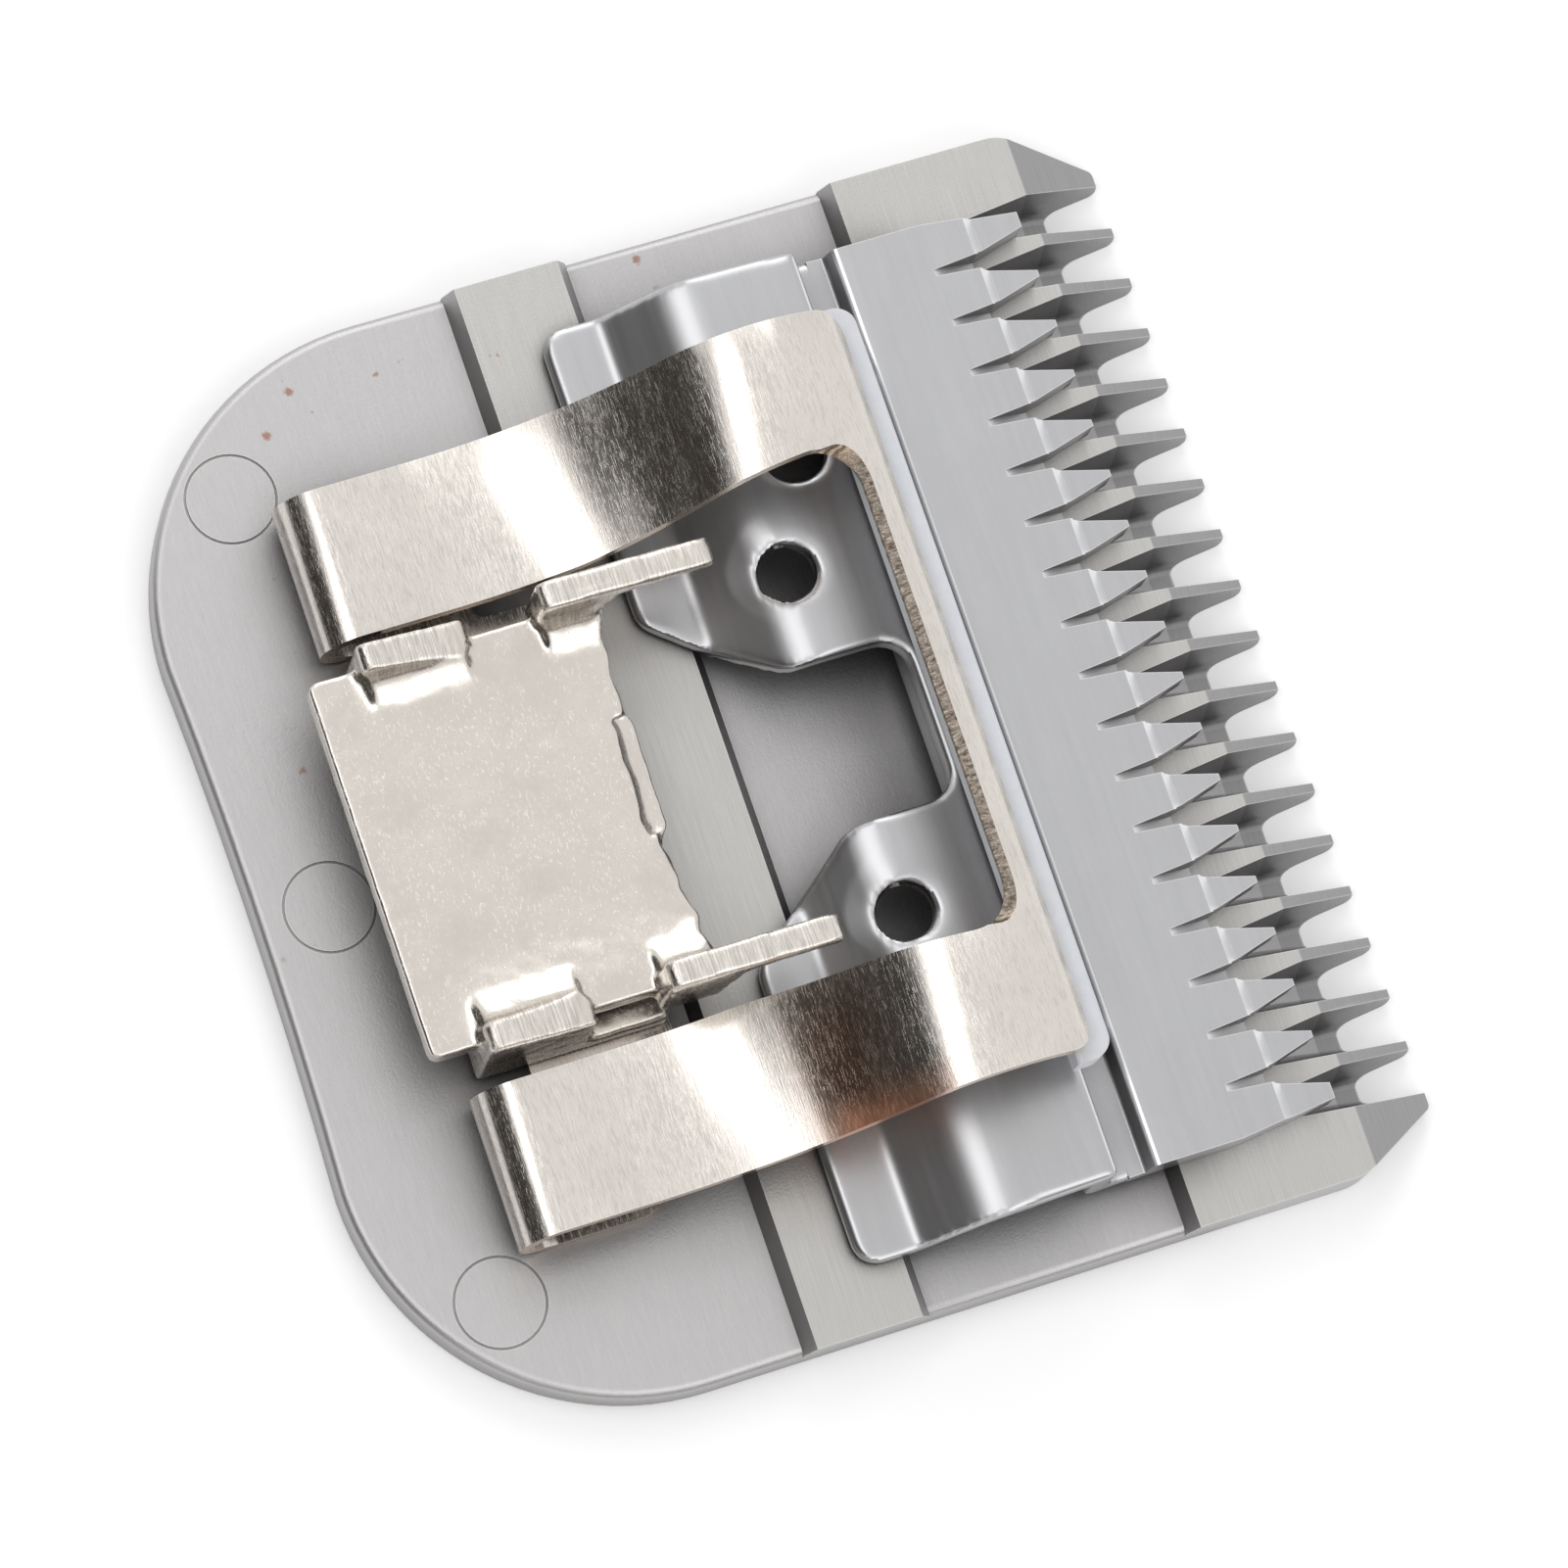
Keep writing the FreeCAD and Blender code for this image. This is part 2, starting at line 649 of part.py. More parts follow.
def make_spring():
    """Tension spring, bent from one strip, with a U-shaped opening for the socket."""
    half = spring_width / 2
    strip = bent_strip(spring_path(), spring_thickness)
    strip.translate(Vector(-half, 0, 0))
    spring = strip.extrude(Vector(spring_width, 0, 0))

    inner = arm_inner_half_width
    inner_front = arm_inner_front_half_width
    y_past_rear = behind(spring_rear_distance) - margin
    y_past_front = behind(lip_distance) + lip_length + margin
    y_round_front = behind(lip_distance) + lip_length * math.cos(math.radians(lip_angle))
    y_opening = behind(opening_front_distance)
    z_past_top = spring_path()[-3][1] + margin
    z_between = z_base_top + margin / 4
    opening = [
        (inner, y_past_rear, 0.0),
        (inner, behind(arm_rise_distance), arm_inner_bend_radius),
        (inner_front, y_opening, opening_corner_radius),
        (-inner_front, y_opening, opening_corner_radius),
        (-inner, behind(arm_rise_distance), arm_inner_bend_radius),
        (-inner, y_past_rear, 0.0),
    ]
    spring = spring.cut(plan_prism(opening, z_between, z_past_top))
    spring = spring.cut(sheared_front(opening, y_opening))
    between_rolls = box(-inner, inner, y_past_rear, behind(base_rear_distance), 0.0, z_past_top)
    spring = spring.cut(between_rolls)

    arms = plan_prism([
        (half, y_past_rear, 0.0),
        (half, y_round_front, front_corner_radius),
        (-half, y_round_front, front_corner_radius),
        (-half, y_past_rear, 0.0),
    ], z_between, z_past_top)
    y_side = behind(base_side_front_distance)
    base = plan_prism([
        (half, y_past_rear, 0.0),
        (half, y_side, base_corner_radius),
        (inner, y_side, base_step_radius),
        (inner, y_past_front, 0.0),
        (-inner, y_past_front, 0.0),
        (-inner, y_side, base_step_radius),
        (-half, y_side, base_corner_radius),
        (-half, y_past_rear, 0.0),
    ], 0.0, z_between)
    spring = spring.common(arms.fuse(base))
    return spring.cut(screw_shanks()).removeSplitter()


def screw_shanks():
    """Cutting shapes for the screws where they pass the spring base and the socket floor."""
    y = behind(screw_distance)
    radius = screw_diameter / 2
    return [upright_cylinder(radius, x, y, 0.0, z_socket_floor) for x in screw_places()]


def make_guide():
    """Plastic guide: a tall rail, long at the head, whose foot runs in the cutter's channel."""
    z_foot = z_ride + channel_floor_height
    z_top = lip_contact_height()
    y_foot_front = behind(bar_rear_distance + channel_wall_run) - guide_side_clearance
    y_foot_rear = behind(platform_front_distance) + guide_side_clearance
    y_front = behind(guide_front_distance)
    y_rear = behind(guide_rear_distance)
    z_shoulder = z_rail + platform_height + guide_shoulder_gap
    half = guide_length / 2
    guide = section_prism([
        (y_foot_front, z_foot, guide_edge_radius),
        (y_foot_front, z_foot + guide_foot_height, guide_edge_radius),
        (y_front, z_top, guide_edge_radius),
        (y_rear, z_top, guide_edge_radius),
        (y_rear, z_shoulder, guide_edge_radius),
        (y_foot_rear, z_shoulder, guide_edge_radius),
        (y_foot_rear, z_foot, guide_edge_radius),
    ], -half, half)
    y_past_front = y_foot_front + margin
    y_past_rear = y_rear - margin
    head_plan = plan_prism([
        (half, y_past_rear, 0.0),
        (half, y_front, guide_end_radius),
        (-half, y_front, guide_end_radius),
        (-half, y_past_rear, 0.0),
    ], z_top - guide_head_depth, z_top + margin)
    web_half = half - guide_end_undercut
    web = box(-web_half, web_half, y_past_rear, y_past_front, z_foot - margin, z_top + margin)
    return guide.common(head_plan.fuse(web)).removeSplitter()


def ear_side():
    """Right-hand side of the socket: a wall with a low rear ear, and the front ear with its prong."""
    outer = socket_outer_width / 2
    inner = outer - socket_sheet
    y_wall_rear = behind(wall_rear_distance)
    y_wall_front = behind(wall_front_distance)
    y_notch = behind(rear_ear_front_distance)
    z_notch = z_socket_floor + notch_floor_height
    wall_profile = [
        (y_wall_rear, z_base_top, 0.0),
        (y_wall_front, z_base_top, 0.0),
        (y_wall_front, z_notch, 0.0),
        (y_notch, z_notch, ear_corner_radius),
        (y_notch, z_roof_top + rear_ear_front_rise, ear_corner_radius / 2),
        (y_wall_rear, z_roof_top + rear_ear_rise, ear_corner_radius),
    ]
    wall = section_prism(wall_profile, inner, outer)

    y_rear = behind(front_ear_rear_distance)
    y_root = behind(prong_root_distance)
    y_end = behind(front_ear_tip_distance)
    z_tip = z_roof_top + front_ear_tip_rise
    ear = section_prism([
        (y_rear, z_roof_bottom, 0.0),
        (behind(roof_front_distance), z_roof_bottom, 0.0),
        (y_root, z_tip - prong_depth, ear_corner_radius),
        (y_end, z_tip - prong_depth, ear_corner_radius / 2),
        (y_end, z_tip, ear_corner_radius / 2),
        (y_rear, z_roof_top + front_ear_rear_rise, ear_corner_radius),
    ], inner, outer)
    rear_bend = ear_bend(y_wall_rear + ear_bend_inset, y_notch - ear_bend_inset, rear_ear_rise)
    rear_bend = rear_bend.common(section_prism(wall_profile, 0.0, outer))
    front_bend = ear_bend(y_rear + ear_bend_inset, behind(roof_front_distance), front_ear_tip_rise)
    return wall.fuse([ear, rear_bend, front_bend])


def ear_bend(y_low, y_high, rise):
    """Concave bend between the roof and an ear on the right-hand side."""
    inner = socket_outer_width / 2 - socket_sheet
    radius = min(ear_bend_radius, rise)
    middle = inner + socket_sheet / 2
    corner = box(inner - radius, middle, y_low, y_high, z_roof_bottom, z_roof_top + radius)
    axis_start = Vector(inner - radius, y_low, z_roof_top + radius)
    hollow = Part.makeCylinder(radius, y_high - y_low, axis_start, Vector(0, 1, 0))
    return corner.cut(hollow)


def make_socket():
    """Blade socket: roof, two walls with ears, and a floor that the screws pull down."""
    inner = socket_outer_width / 2 - socket_sheet
    roof_half = roof_width / 2
    y_roof_rear = behind(roof_rear_distance)
    y_roof_front = behind(roof_front_distance)
    roof = plan_prism([
        (roof_half, y_roof_rear, roof_corner_radius),
        (roof_half, y_roof_front, roof_corner_radius),
        (-roof_half, y_roof_front, roof_corner_radius),
        (-roof_half, y_roof_rear, roof_corner_radius),
    ], z_roof_bottom, z_roof_top)
    torn = box(burr_start, burr_end, y_roof_front - burr_setback, y_roof_front + margin,
               z_roof_top - burr_depth, z_roof_top + margin)
    burr = plan_prism([
        (burr_start, y_roof_front - burr_setback, 0.0),
        (burr_end, y_roof_front - burr_setback, 0.0),
        (burr_end, y_roof_front + burr_reach, burr_reach),
        (burr_start, y_roof_front + burr_reach, burr_reach),
    ], z_roof_bottom, z_roof_top - burr_depth)
    side = ear_side()
    floor = box(-inner, inner, behind(wall_rear_distance), behind(wall_front_distance),
                z_base_top, z_socket_floor)
    socket = roof.cut(torn).fuse([burr, side, mirrored(side), floor])
    return socket.cut(screw_shanks()).removeSplitter()


pieces = {
    "comb": make_comb,
    "cutter": make_cutter,
    "cutter_guide": make_guide,
    "tension_spring": make_spring,
    "blade_socket": make_socket,
    "socket_screws": make_screws,
}

os.makedirs("parts", exist_ok=True)
for name, make in pieces.items():
    shape = make()
    shape.exportStep(os.path.join("parts", name + ".step"))
    bounds = shape.BoundBox
    size = [round(length, 2) for length in (bounds.XLength, bounds.YLength, bounds.ZLength)]
    print(name, "solids", len(shape.Solids), "valid", shape.isValid(), "box", size)
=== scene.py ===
import bpy
import bmesh
import math
from mathutils import Matrix, Vector, noise


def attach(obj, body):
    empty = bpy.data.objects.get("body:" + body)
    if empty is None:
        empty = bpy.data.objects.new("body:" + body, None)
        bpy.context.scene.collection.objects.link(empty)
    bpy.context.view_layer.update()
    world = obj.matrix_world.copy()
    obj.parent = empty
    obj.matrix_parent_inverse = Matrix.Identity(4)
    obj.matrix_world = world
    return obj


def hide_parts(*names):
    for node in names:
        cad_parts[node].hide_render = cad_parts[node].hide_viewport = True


# A detachable hair clipper blade on a pale table, seen from above and a little from the side.
# Lengths are in metres, or in mm where a comment says so. X runs across the blade, +Y points to the
# tooth tips and +Z is up.
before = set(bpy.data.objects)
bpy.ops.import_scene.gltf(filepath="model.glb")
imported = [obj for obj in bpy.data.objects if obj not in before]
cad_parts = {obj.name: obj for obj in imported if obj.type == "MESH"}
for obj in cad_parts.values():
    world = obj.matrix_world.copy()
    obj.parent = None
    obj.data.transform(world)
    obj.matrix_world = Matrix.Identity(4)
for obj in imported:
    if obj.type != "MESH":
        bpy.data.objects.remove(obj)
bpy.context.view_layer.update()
mm = 0.001


# The comb is the fixed lower blade: one thick plate of tool steel, blasted matte grey all over.
# Its two rails and its tooth slopes are ground bright afterwards, with lines across the blade.
# The tooth gaps are cut with a tapered wheel, so their floors rise towards the rail.
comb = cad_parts["comb"]
comb_rail_height = 3.1            # mm
comb_floor_height = 2.2           # mm
comb_bevel_line = 20.15           # mm, where the tooth slopes start
comb_edge_round = 0.05 * mm
rust_specks = ((-22.97, -14.82), (-21.31, -16.42), (-24.46, 2.19))     # mm, on the comb's floor

blasted_dark = (0.43, 0.422, 0.424)
blasted_light = (0.50, 0.491, 0.491)
blasted_glint = (0.56, 0.55, 0.545)
rail_dark = (0.44, 0.43, 0.415)
rail_light = (0.56, 0.547, 0.53)
slope_dark = (0.31, 0.305, 0.31)
slope_light = (0.38, 0.375, 0.378)
comb_rubbed = (0.8, 0.79, 0.77)
comb_rust = (0.32, 0.17, 0.12)
comb_speck = (0.30, 0.15, 0.10)
# painted shade for the narrow places
comb_painted_shade = (0.045, 0.042, 0.04)

seam_gap = 0.0001 * mm            # points nearer than this are one point
sharp_turn = math.radians(32.0)   # edges that turn more than this get a round
rub_reach = 0.09 * mm             # how far handling rubs a sharp edge bright
to_the_tips = (0.0, 1.0, 0.0)


def soften_edges(piece, width, segments=2):
    """Small round along the sharp edges of a piece, as tumbling leaves it."""
    weld = piece.modifiers.new("close_seams", "WELD")
    weld.merge_threshold = seam_gap
    bevel = piece.modifiers.new("tumbled_edges", "BEVEL")
    bevel.limit_method = "ANGLE"
    bevel.angle_limit = sharp_turn
    bevel.width = width
    bevel.segments = segments
    bevel.harden_normals = True


def add(nodes, kind, values=None, **settings):
    """New shader node. Settings are its own properties, and values go to its sockets."""
    node = nodes.new(kind)
    for name, setting in settings.items():
        setattr(node, name, setting)
    for name, value in (values or {}).items():
        node.inputs[name].default_value = value
    return node


def new_group(name, inputs, output):
    """Empty shader node group: inputs as name and default, and one number that comes out."""
    group = bpy.data.node_groups.new(name, "ShaderNodeTree")
    for label, default in inputs.items():
        kind = "NodeSocketVector" if isinstance(default, tuple) else "NodeSocketFloat"
        socket = group.interface.new_socket(label, in_out="INPUT", socket_type=kind)
        socket.default_value = default
    group.interface.new_socket(output, in_out="OUTPUT", socket_type="NodeSocketFloat")
    start = group.nodes.new("NodeGroupInput")
    end = group.nodes.new("NodeGroupOutput")
    return group, start, end


def place_in_mm(group):
    """The point's place on the object, in mm."""
    place = add(group.nodes, "ShaderNodeTexCoord")
    in_mm = add(group.nodes, "ShaderNodeVectorMath", {"Scale": 1 / mm}, operation="SCALE")
    group.links.new(place.outputs["Object"], in_mm.inputs[0])
    return in_mm.outputs[0]


def contrasted(group, start, value):
    """A noise value, spread about its middle by the group's Contrast and kept from 0 to 1."""
    middle = 0.5
    centred = add(group.nodes, "ShaderNodeMath", {1: middle}, operation="SUBTRACT")
    scaled = add(group.nodes, "ShaderNodeMath", operation="MULTIPLY")
    shifted = add(group.nodes, "ShaderNodeMath", {1: middle}, operation="ADD", use_clamp=True)
    group.links.new(value, centred.inputs[0])
    group.links.new(centred.outputs[0], scaled.inputs[0])
    group.links.new(start.outputs["Contrast"], scaled.inputs[1])
    group.links.new(scaled.outputs[0], shifted.inputs[0])
    return shifted.outputs[0]


def streak_group():
    """Fine lines, as grinding leaves them. Stretch is how many go to a mm along X, Y and Z."""
    group, start, end = new_group(
        "grinding_lines", {"Stretch": (1.0, 1.0, 1.0), "Contrast": 1.0, "Detail": 5.0}, "Lines"
    )
    stretched = add(group.nodes, "ShaderNodeVectorMath", operation="MULTIPLY")
    lines = add(group.nodes, "ShaderNodeTexNoise",
                {"Scale": 1.0, "Roughness": 0.68, "Distortion": 0.15})
    group.links.new(place_in_mm(group), stretched.inputs[0])
    group.links.new(start.outputs["Stretch"], stretched.inputs[1])
    group.links.new(stretched.outputs[0], lines.inputs["Vector"])
    group.links.new(start.outputs["Detail"], lines.inputs["Detail"])
    group.links.new(contrasted(group, start, lines.outputs["Fac"]), end.inputs["Lines"])
    return group


def grain_group():
    """Even grain in all directions, as blasting and plating leave it. Size is in mm."""
    group, start, end = new_group(
        "blasted_grain", {"Size": 0.1, "Contrast": 1.0, "Detail": 3.0}, "Grain"
    )
    place = add(group.nodes, "ShaderNodeTexCoord")
    per_metre = add(group.nodes, "ShaderNodeMath", {0: 1 / mm}, operation="DIVIDE")
    in_grains = add(group.nodes, "ShaderNodeVectorMath", operation="SCALE")
    grains = add(group.nodes, "ShaderNodeTexNoise", {"Scale": 1.0, "Roughness": 0.6})
    group.links.new(start.outputs["Size"], per_metre.inputs[1])
    group.links.new(place.outputs["Object"], in_grains.inputs[0])
    group.links.new(per_metre.outputs[0], in_grains.inputs["Scale"])
    group.links.new(in_grains.outputs[0], grains.inputs["Vector"])
    group.links.new(start.outputs["Detail"], grains.inputs["Detail"])
    group.links.new(contrasted(group, start, grains.outputs["Fac"]), end.inputs["Grain"])
    return group


def edge_group():
    """Mask that is 1 on sharp edges, where handling rubs the metal bright. Gain is its strength."""
    group, start, end = new_group("rubbed_edges", {"Gain": 6.0}, "Edge")
    rounded = add(group.nodes, "ShaderNodeBevel", {"Radius": rub_reach}, samples=6)
    face = add(group.nodes, "ShaderNodeNewGeometry")
    alike = add(group.nodes, "ShaderNodeVectorMath", operation="DOT_PRODUCT")
    turned = add(group.nodes, "ShaderNodeMath", {0: 1.0}, operation="SUBTRACT")
    gained = add(group.nodes, "ShaderNodeMath", operation="MULTIPLY", use_clamp=True)
    group.links.new(rounded.outputs["Normal"], alike.inputs[0])
    group.links.new(face.outputs["True Normal"], alike.inputs[1])
    group.links.new(alike.outputs["Value"], turned.inputs[1])
    group.links.new(turned.outputs[0], gained.inputs[0])
    group.links.new(start.outputs["Gain"], gained.inputs[1])
    group.links.new(gained.outputs[0], end.inputs["Edge"])
    return group


def zone_group():
    """Mask by place: it rises from 0 at Low to 1 at High, both in mm along Axis."""
    group, start, end = new_group(
        "metal_zones", {"Low": 0.0, "High": 1.0, "Axis": (0.0, 0.0, 1.0)}, "Share"
    )
    along = add(group.nodes, "ShaderNodeVectorMath", operation="DOT_PRODUCT")
    band = add(group.nodes, "ShaderNodeMapRange", clamp=True, interpolation_type="SMOOTHSTEP")
    group.links.new(place_in_mm(group), along.inputs[0])
    group.links.new(start.outputs["Axis"], along.inputs[1])
    group.links.new(along.outputs["Value"], band.inputs["Value"])
    group.links.new(start.outputs["Low"], band.inputs["From Min"])
    group.links.new(start.outputs["High"], band.inputs["From Max"])
    group.links.new(band.outputs["Result"], end.inputs["Share"])
    return group


def crevice_shade_group():
    """Mask that is 1 in narrow places, where the colour is darkened as painted shade. Reach is in mm.
    """
    group, start, end = new_group("painted_crevice_shade", {"Reach": 1.2, "Depth": 1.0}, "Shade")
    in_metres = add(group.nodes, "ShaderNodeMath", {1: mm}, operation="MULTIPLY")
    open_sky = add(group.nodes, "ShaderNodeAmbientOcclusion", samples=8)
    closed = add(group.nodes, "ShaderNodeMath", {0: 1.0}, operation="SUBTRACT")
    scaled = add(group.nodes, "ShaderNodeMath", operation="MULTIPLY", use_clamp=True)
    group.links.new(start.outputs["Reach"], in_metres.inputs[0])
    group.links.new(in_metres.outputs[0], open_sky.inputs["Distance"])
    group.links.new(open_sky.outputs["AO"], closed.inputs[1])
    group.links.new(closed.outputs[0], scaled.inputs[0])
    group.links.new(start.outputs["Depth"], scaled.inputs[1])
    group.links.new(scaled.outputs[0], end.inputs["Shade"])
    return group


lines_effect = streak_group()
grain_effect = grain_group()
edge_effect = edge_group()
zone_effect = zone_group()
crevice_shade_effect = crevice_shade_group()


class Finish:
    """A finish under construction: its node tree and short ways to join nodes."""

    def __init__(self, name, roughness, metallic=1.0):
        self.material = bpy.data.materials.new(name)
        self.material.use_nodes = True
        self.nodes = self.material.node_tree.nodes
        self.links = self.material.node_tree.links
        self.shader = self.nodes["Principled BSDF"]
        self.shader.inputs["Metallic"].default_value = metallic
        self.shader.inputs["Roughness"].default_value = roughness

    def feed(self, socket, value):
        """Gives a socket another node's output, a colour or a number."""
        if isinstance(value, bpy.types.NodeSocket):
            self.links.new(value, socket)
        elif isinstance(value, tuple):
            socket.default_value = (*value, 1.0)
        else:
            socket.default_value = value

    def effect(self, group, **values):
        """Output of a shared effect with this finish's own values."""
        node = add(self.nodes, "ShaderNodeGroup", node_tree=group)
        for label, value in values.items():
            node.inputs[label].default_value = value
        return node.outputs[0]

    def mix_colour(self, share, first, second):
        """Colour that goes from the first to the second as the share goes from 0 to 1."""
        node = add(self.nodes, "ShaderNodeMix", data_type="RGBA")
        share_socket, first_socket, second_socket = node.inputs[0], node.inputs[6], node.inputs[7]
        self.feed(share_socket, share)
        self.feed(first_socket, first)
        self.feed(second_socket, second)
        return node.outputs[2]

    def combine(self, operation, first, second):
        """Result of one sum with two values."""
        node = add(self.nodes, "ShaderNodeMath", operation=operation)
        self.feed(node.inputs[0], first)
        self.feed(node.inputs[1], second)
        return node.outputs[0]

    def spread(self, value, at_start, at_stop, start=0.0, stop=1.0):
        """Value that goes from at_start to at_stop as the given one goes from start to stop."""
        node = add(self.nodes, "ShaderNodeMapRange",
                   {"From Min": start, "From Max": stop, "To Min": at_start, "To Max": at_stop},
                   clamp=True)
        self.feed(node.inputs["Value"], value)
        return node.outputs["Result"]

    def facing(self, direction, start, stop, normal="Normal"):
        """Mask that goes from 0 to 1 as the surface turns to a direction, between two cosines."""
        face = add(self.nodes, "ShaderNodeNewGeometry")
        alike = add(self.nodes, "ShaderNodeVectorMath", {1: direction}, operation="DOT_PRODUCT")
        self.links.new(face.outputs[normal], alike.inputs[0])
        return self.spread(alike.outputs["Value"], 0.0, 1.0, start, stop)

    def bump(self, height, depth, strength, under=None):
        """Fine relief of the surface, on top of the relief under it."""
        node = add(self.nodes, "ShaderNodeBump", {"Distance": depth, "Strength": strength})
        self.links.new(height, node.inputs["Height"])
        if under is not None:
            self.links.new(under, node.inputs["Normal"])
        return node.outputs["Normal"]

    def finish_with(self, colour, roughness=None, normal=None):
        """The finished material."""
        self.links.new(colour, self.shader.inputs["Base Color"])
        if roughness is not None:
            self.links.new(roughness, self.shader.inputs["Roughness"])
        if normal is not None:
            self.links.new(normal, self.shader.inputs["Normal"])
        return self.material


def comb_finish():
    """Blasted grey steel, ground bright on top, with faint streaks and a few rust specks."""
    steel = Finish("comb_steel", 0.42)
    streaks = steel.effect(lines_effect, Stretch=(0.6, 9.0, 9.0), Contrast=1.6)
    grain = steel.effect(grain_effect, Size=0.12, Contrast=1.4)
    ground = steel.effect(lines_effect, Stretch=(0.25, 22.0, 1.0), Contrast=2.2)
    on_rail = steel.effect(zone_effect, Low=comb_rail_height - 0.02, High=comb_rail_height - 0.005)
    past_bevel = steel.effect(zone_effect, Low=comb_bevel_line - 0.05, High=comb_bevel_line + 0.01,
                              Axis=to_the_tips)
    edge = steel.effect(edge_effect, Gain=5.0)
    matte = steel.mix_colour(streaks, blasted_dark, blasted_light)
    matte = steel.mix_colour(steel.spread(grain, 0.0, 0.25), matte, blasted_glint)
    bright = steel.mix_colour(ground, rail_dark, rail_light)
    slope = steel.mix_colour(ground, slope_dark, slope_light)
    colour = steel.mix_colour(on_rail, matte, bright)
    colour = steel.mix_colour(past_bevel, colour, slope)
    colour = steel.mix_colour(steel.spread(edge, 0.0, 0.7), colour, comb_rubbed)

    # A little rust breaks out towards the rear left corner, and three specks stand apart.
    place = add(steel.nodes, "ShaderNodeTexCoord")
    spots = add(steel.nodes, "ShaderNodeTexNoise", {"Scale": 0.9 / mm, "Detail": 4.0})
    steel.links.new(place.outputs["Object"], spots.inputs["Vector"])
    rust = steel.spread(spots.outputs["Fac"], 0.0, 1.0, start=0.70, stop=0.74)
    rear_left = steel.effect(zone_effect, Low=6.0, High=22.0, Axis=(-0.7, -0.7, 0.0))
    rust = steel.combine("MULTIPLY", rust, rear_left)
    colour = steel.mix_colour(steel.spread(rust, 0.0, 0.75), colour, comb_rust)
    for spot in rust_specks:
        middle = Vector((*spot, comb_floor_height)) * mm
        away = add(steel.nodes, "ShaderNodeVectorMath", {1: middle}, operation="DISTANCE")
        steel.links.new(place.outputs["Object"], away.inputs[0])
        frayed = steel.combine("MULTIPLY", steel.spread(grain, 0.4, 1.6), away.outputs["Value"])
        speck = steel.spread(frayed, 0.8, 0.0, start=0.12 * mm, stop=0.24 * mm)
        colour = steel.mix_colour(speck, colour, comb_speck)

    # Painted shade darkens the narrow places, less so between the teeth.
    painted_shade = steel.effect(crevice_shade_effect, Reach=5.0, Depth=1.25)
    in_teeth = steel.effect(zone_effect, Low=12.0, High=15.0, Axis=to_the_tips)
    painted_shade = steel.combine("MULTIPLY", painted_shade, steel.spread(in_teeth, 1.0, 0.4))
    painted_shade = steel.spread(painted_shade, 0.0, 0.95, start=0.14)
    colour = steel.mix_colour(painted_shade, colour, comb_painted_shade)
    roughness = steel.spread(on_rail, 0.44, 0.34)
    normal = steel.bump(grain, depth=0.012 * mm, strength=0.55)
    normal = steel.bump(ground, depth=0.003 * mm, strength=0.5, under=normal)
    return steel.finish_with(colour, roughness, normal)


comb.data.materials[0] = comb_finish()
soften_edges(comb, comb_edge_round)


# The cutter is the moving upper blade: one piece of hardened steel, pressed to shape, tumbled smooth,
# then ground under and across the teeth. It slides from side to side on the comb's rails.
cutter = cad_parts["cutter"]
cutter_split = 9.1 * mm           # in the channel: sharp ground bar ahead, pressed shape behind
cutter_cell = 0.17                # mm, mesh cells of the pressed shape before it is rounded
cutter_passes = 11                # rounds of smoothing over those cells
cutter_edge_round = 0.07 * mm
bar_smooth_turn = math.radians(6.0)    # the bar is shaded smooth over edges that turn less than this
lug_hole_place = (8.05, 3.05)     # mm, the right one; the left one is its mirror
lug_hole_gain = 0.24 * mm         # what rounding would add to a hole's radius
lug_hole_core = 1.2 * mm          # what lies nearer to the hole's middle stays
lug_hole_rim = 1.5 * mm           # up to here all of the gain is drawn back in
lug_hole_reach = 2.5 * mm         # from here on none of it

pressed_dark = (0.445, 0.447, 0.457)
pressed_light = (0.515, 0.517, 0.53)
pressed_cloud = (0.42, 0.415, 0.42)
cutter_rubbed = (0.82, 0.82, 0.83)
# The next two colours are painted highlights.
step_painted_highlight = (0.88, 0.885, 0.90)
bar_edge_painted_highlight = (0.95, 0.95, 0.96)
# painted shade for the narrow places
cutter_painted_shade = (0.06, 0.055, 0.052)


def tumbled_shape(piece, cell, passes):
    """Mesh of a piece with every edge rounded, as pressing and tumbling leave it. Cell is in mm."""
    mesh = piece.data.copy()
    mesh.transform(Matrix.Scale(1 / mm, 4))
    shape = bpy.data.objects.new("shape_being_rounded", mesh)
    bpy.context.scene.collection.objects.link(shape)
    weld = shape.modifiers.new("close_seams", "WELD")
    weld.merge_threshold = seam_gap / mm
    cells = shape.modifiers.new("even_cells", "REMESH")
    cells.mode = "VOXEL"
    cells.voxel_size = cell
    relax = shape.modifiers.new("rounded_edges", "SMOOTH")
    relax.factor = 0.5
    relax.iterations = passes
    bpy.context.view_layer.update()
    seen = shape.evaluated_get(bpy.context.evaluated_depsgraph_get())
    rounded = bpy.data.meshes.new_from_object(seen)
    bpy.data.objects.remove(shape)
    rounded.transform(Matrix.Scale(mm, 4))
    return rounded


def dressed_piece(name, mesh, node_name, body, material):
    """Object that stands for a CAD node and rides with its body."""
    piece = bpy.data.objects.new(name, mesh)
    bpy.context.scene.collection.objects.link(piece)
    mesh.materials.clear()
    mesh.materials.append(material)
    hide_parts(node_name)
    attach(piece, body)
    return piece


def cut_at(shape, station, keep_front):
    """Keeps what lies ahead of a station, or behind it."""
    bmesh.ops.bisect_plane(
        shape, geom=shape.verts[:] + shape.edges[:] + shape.faces[:],
        plane_co=(0.0, station, 0.0), plane_no=to_the_tips,
        clear_inner=keep_front, clear_outer=not keep_front,
    )


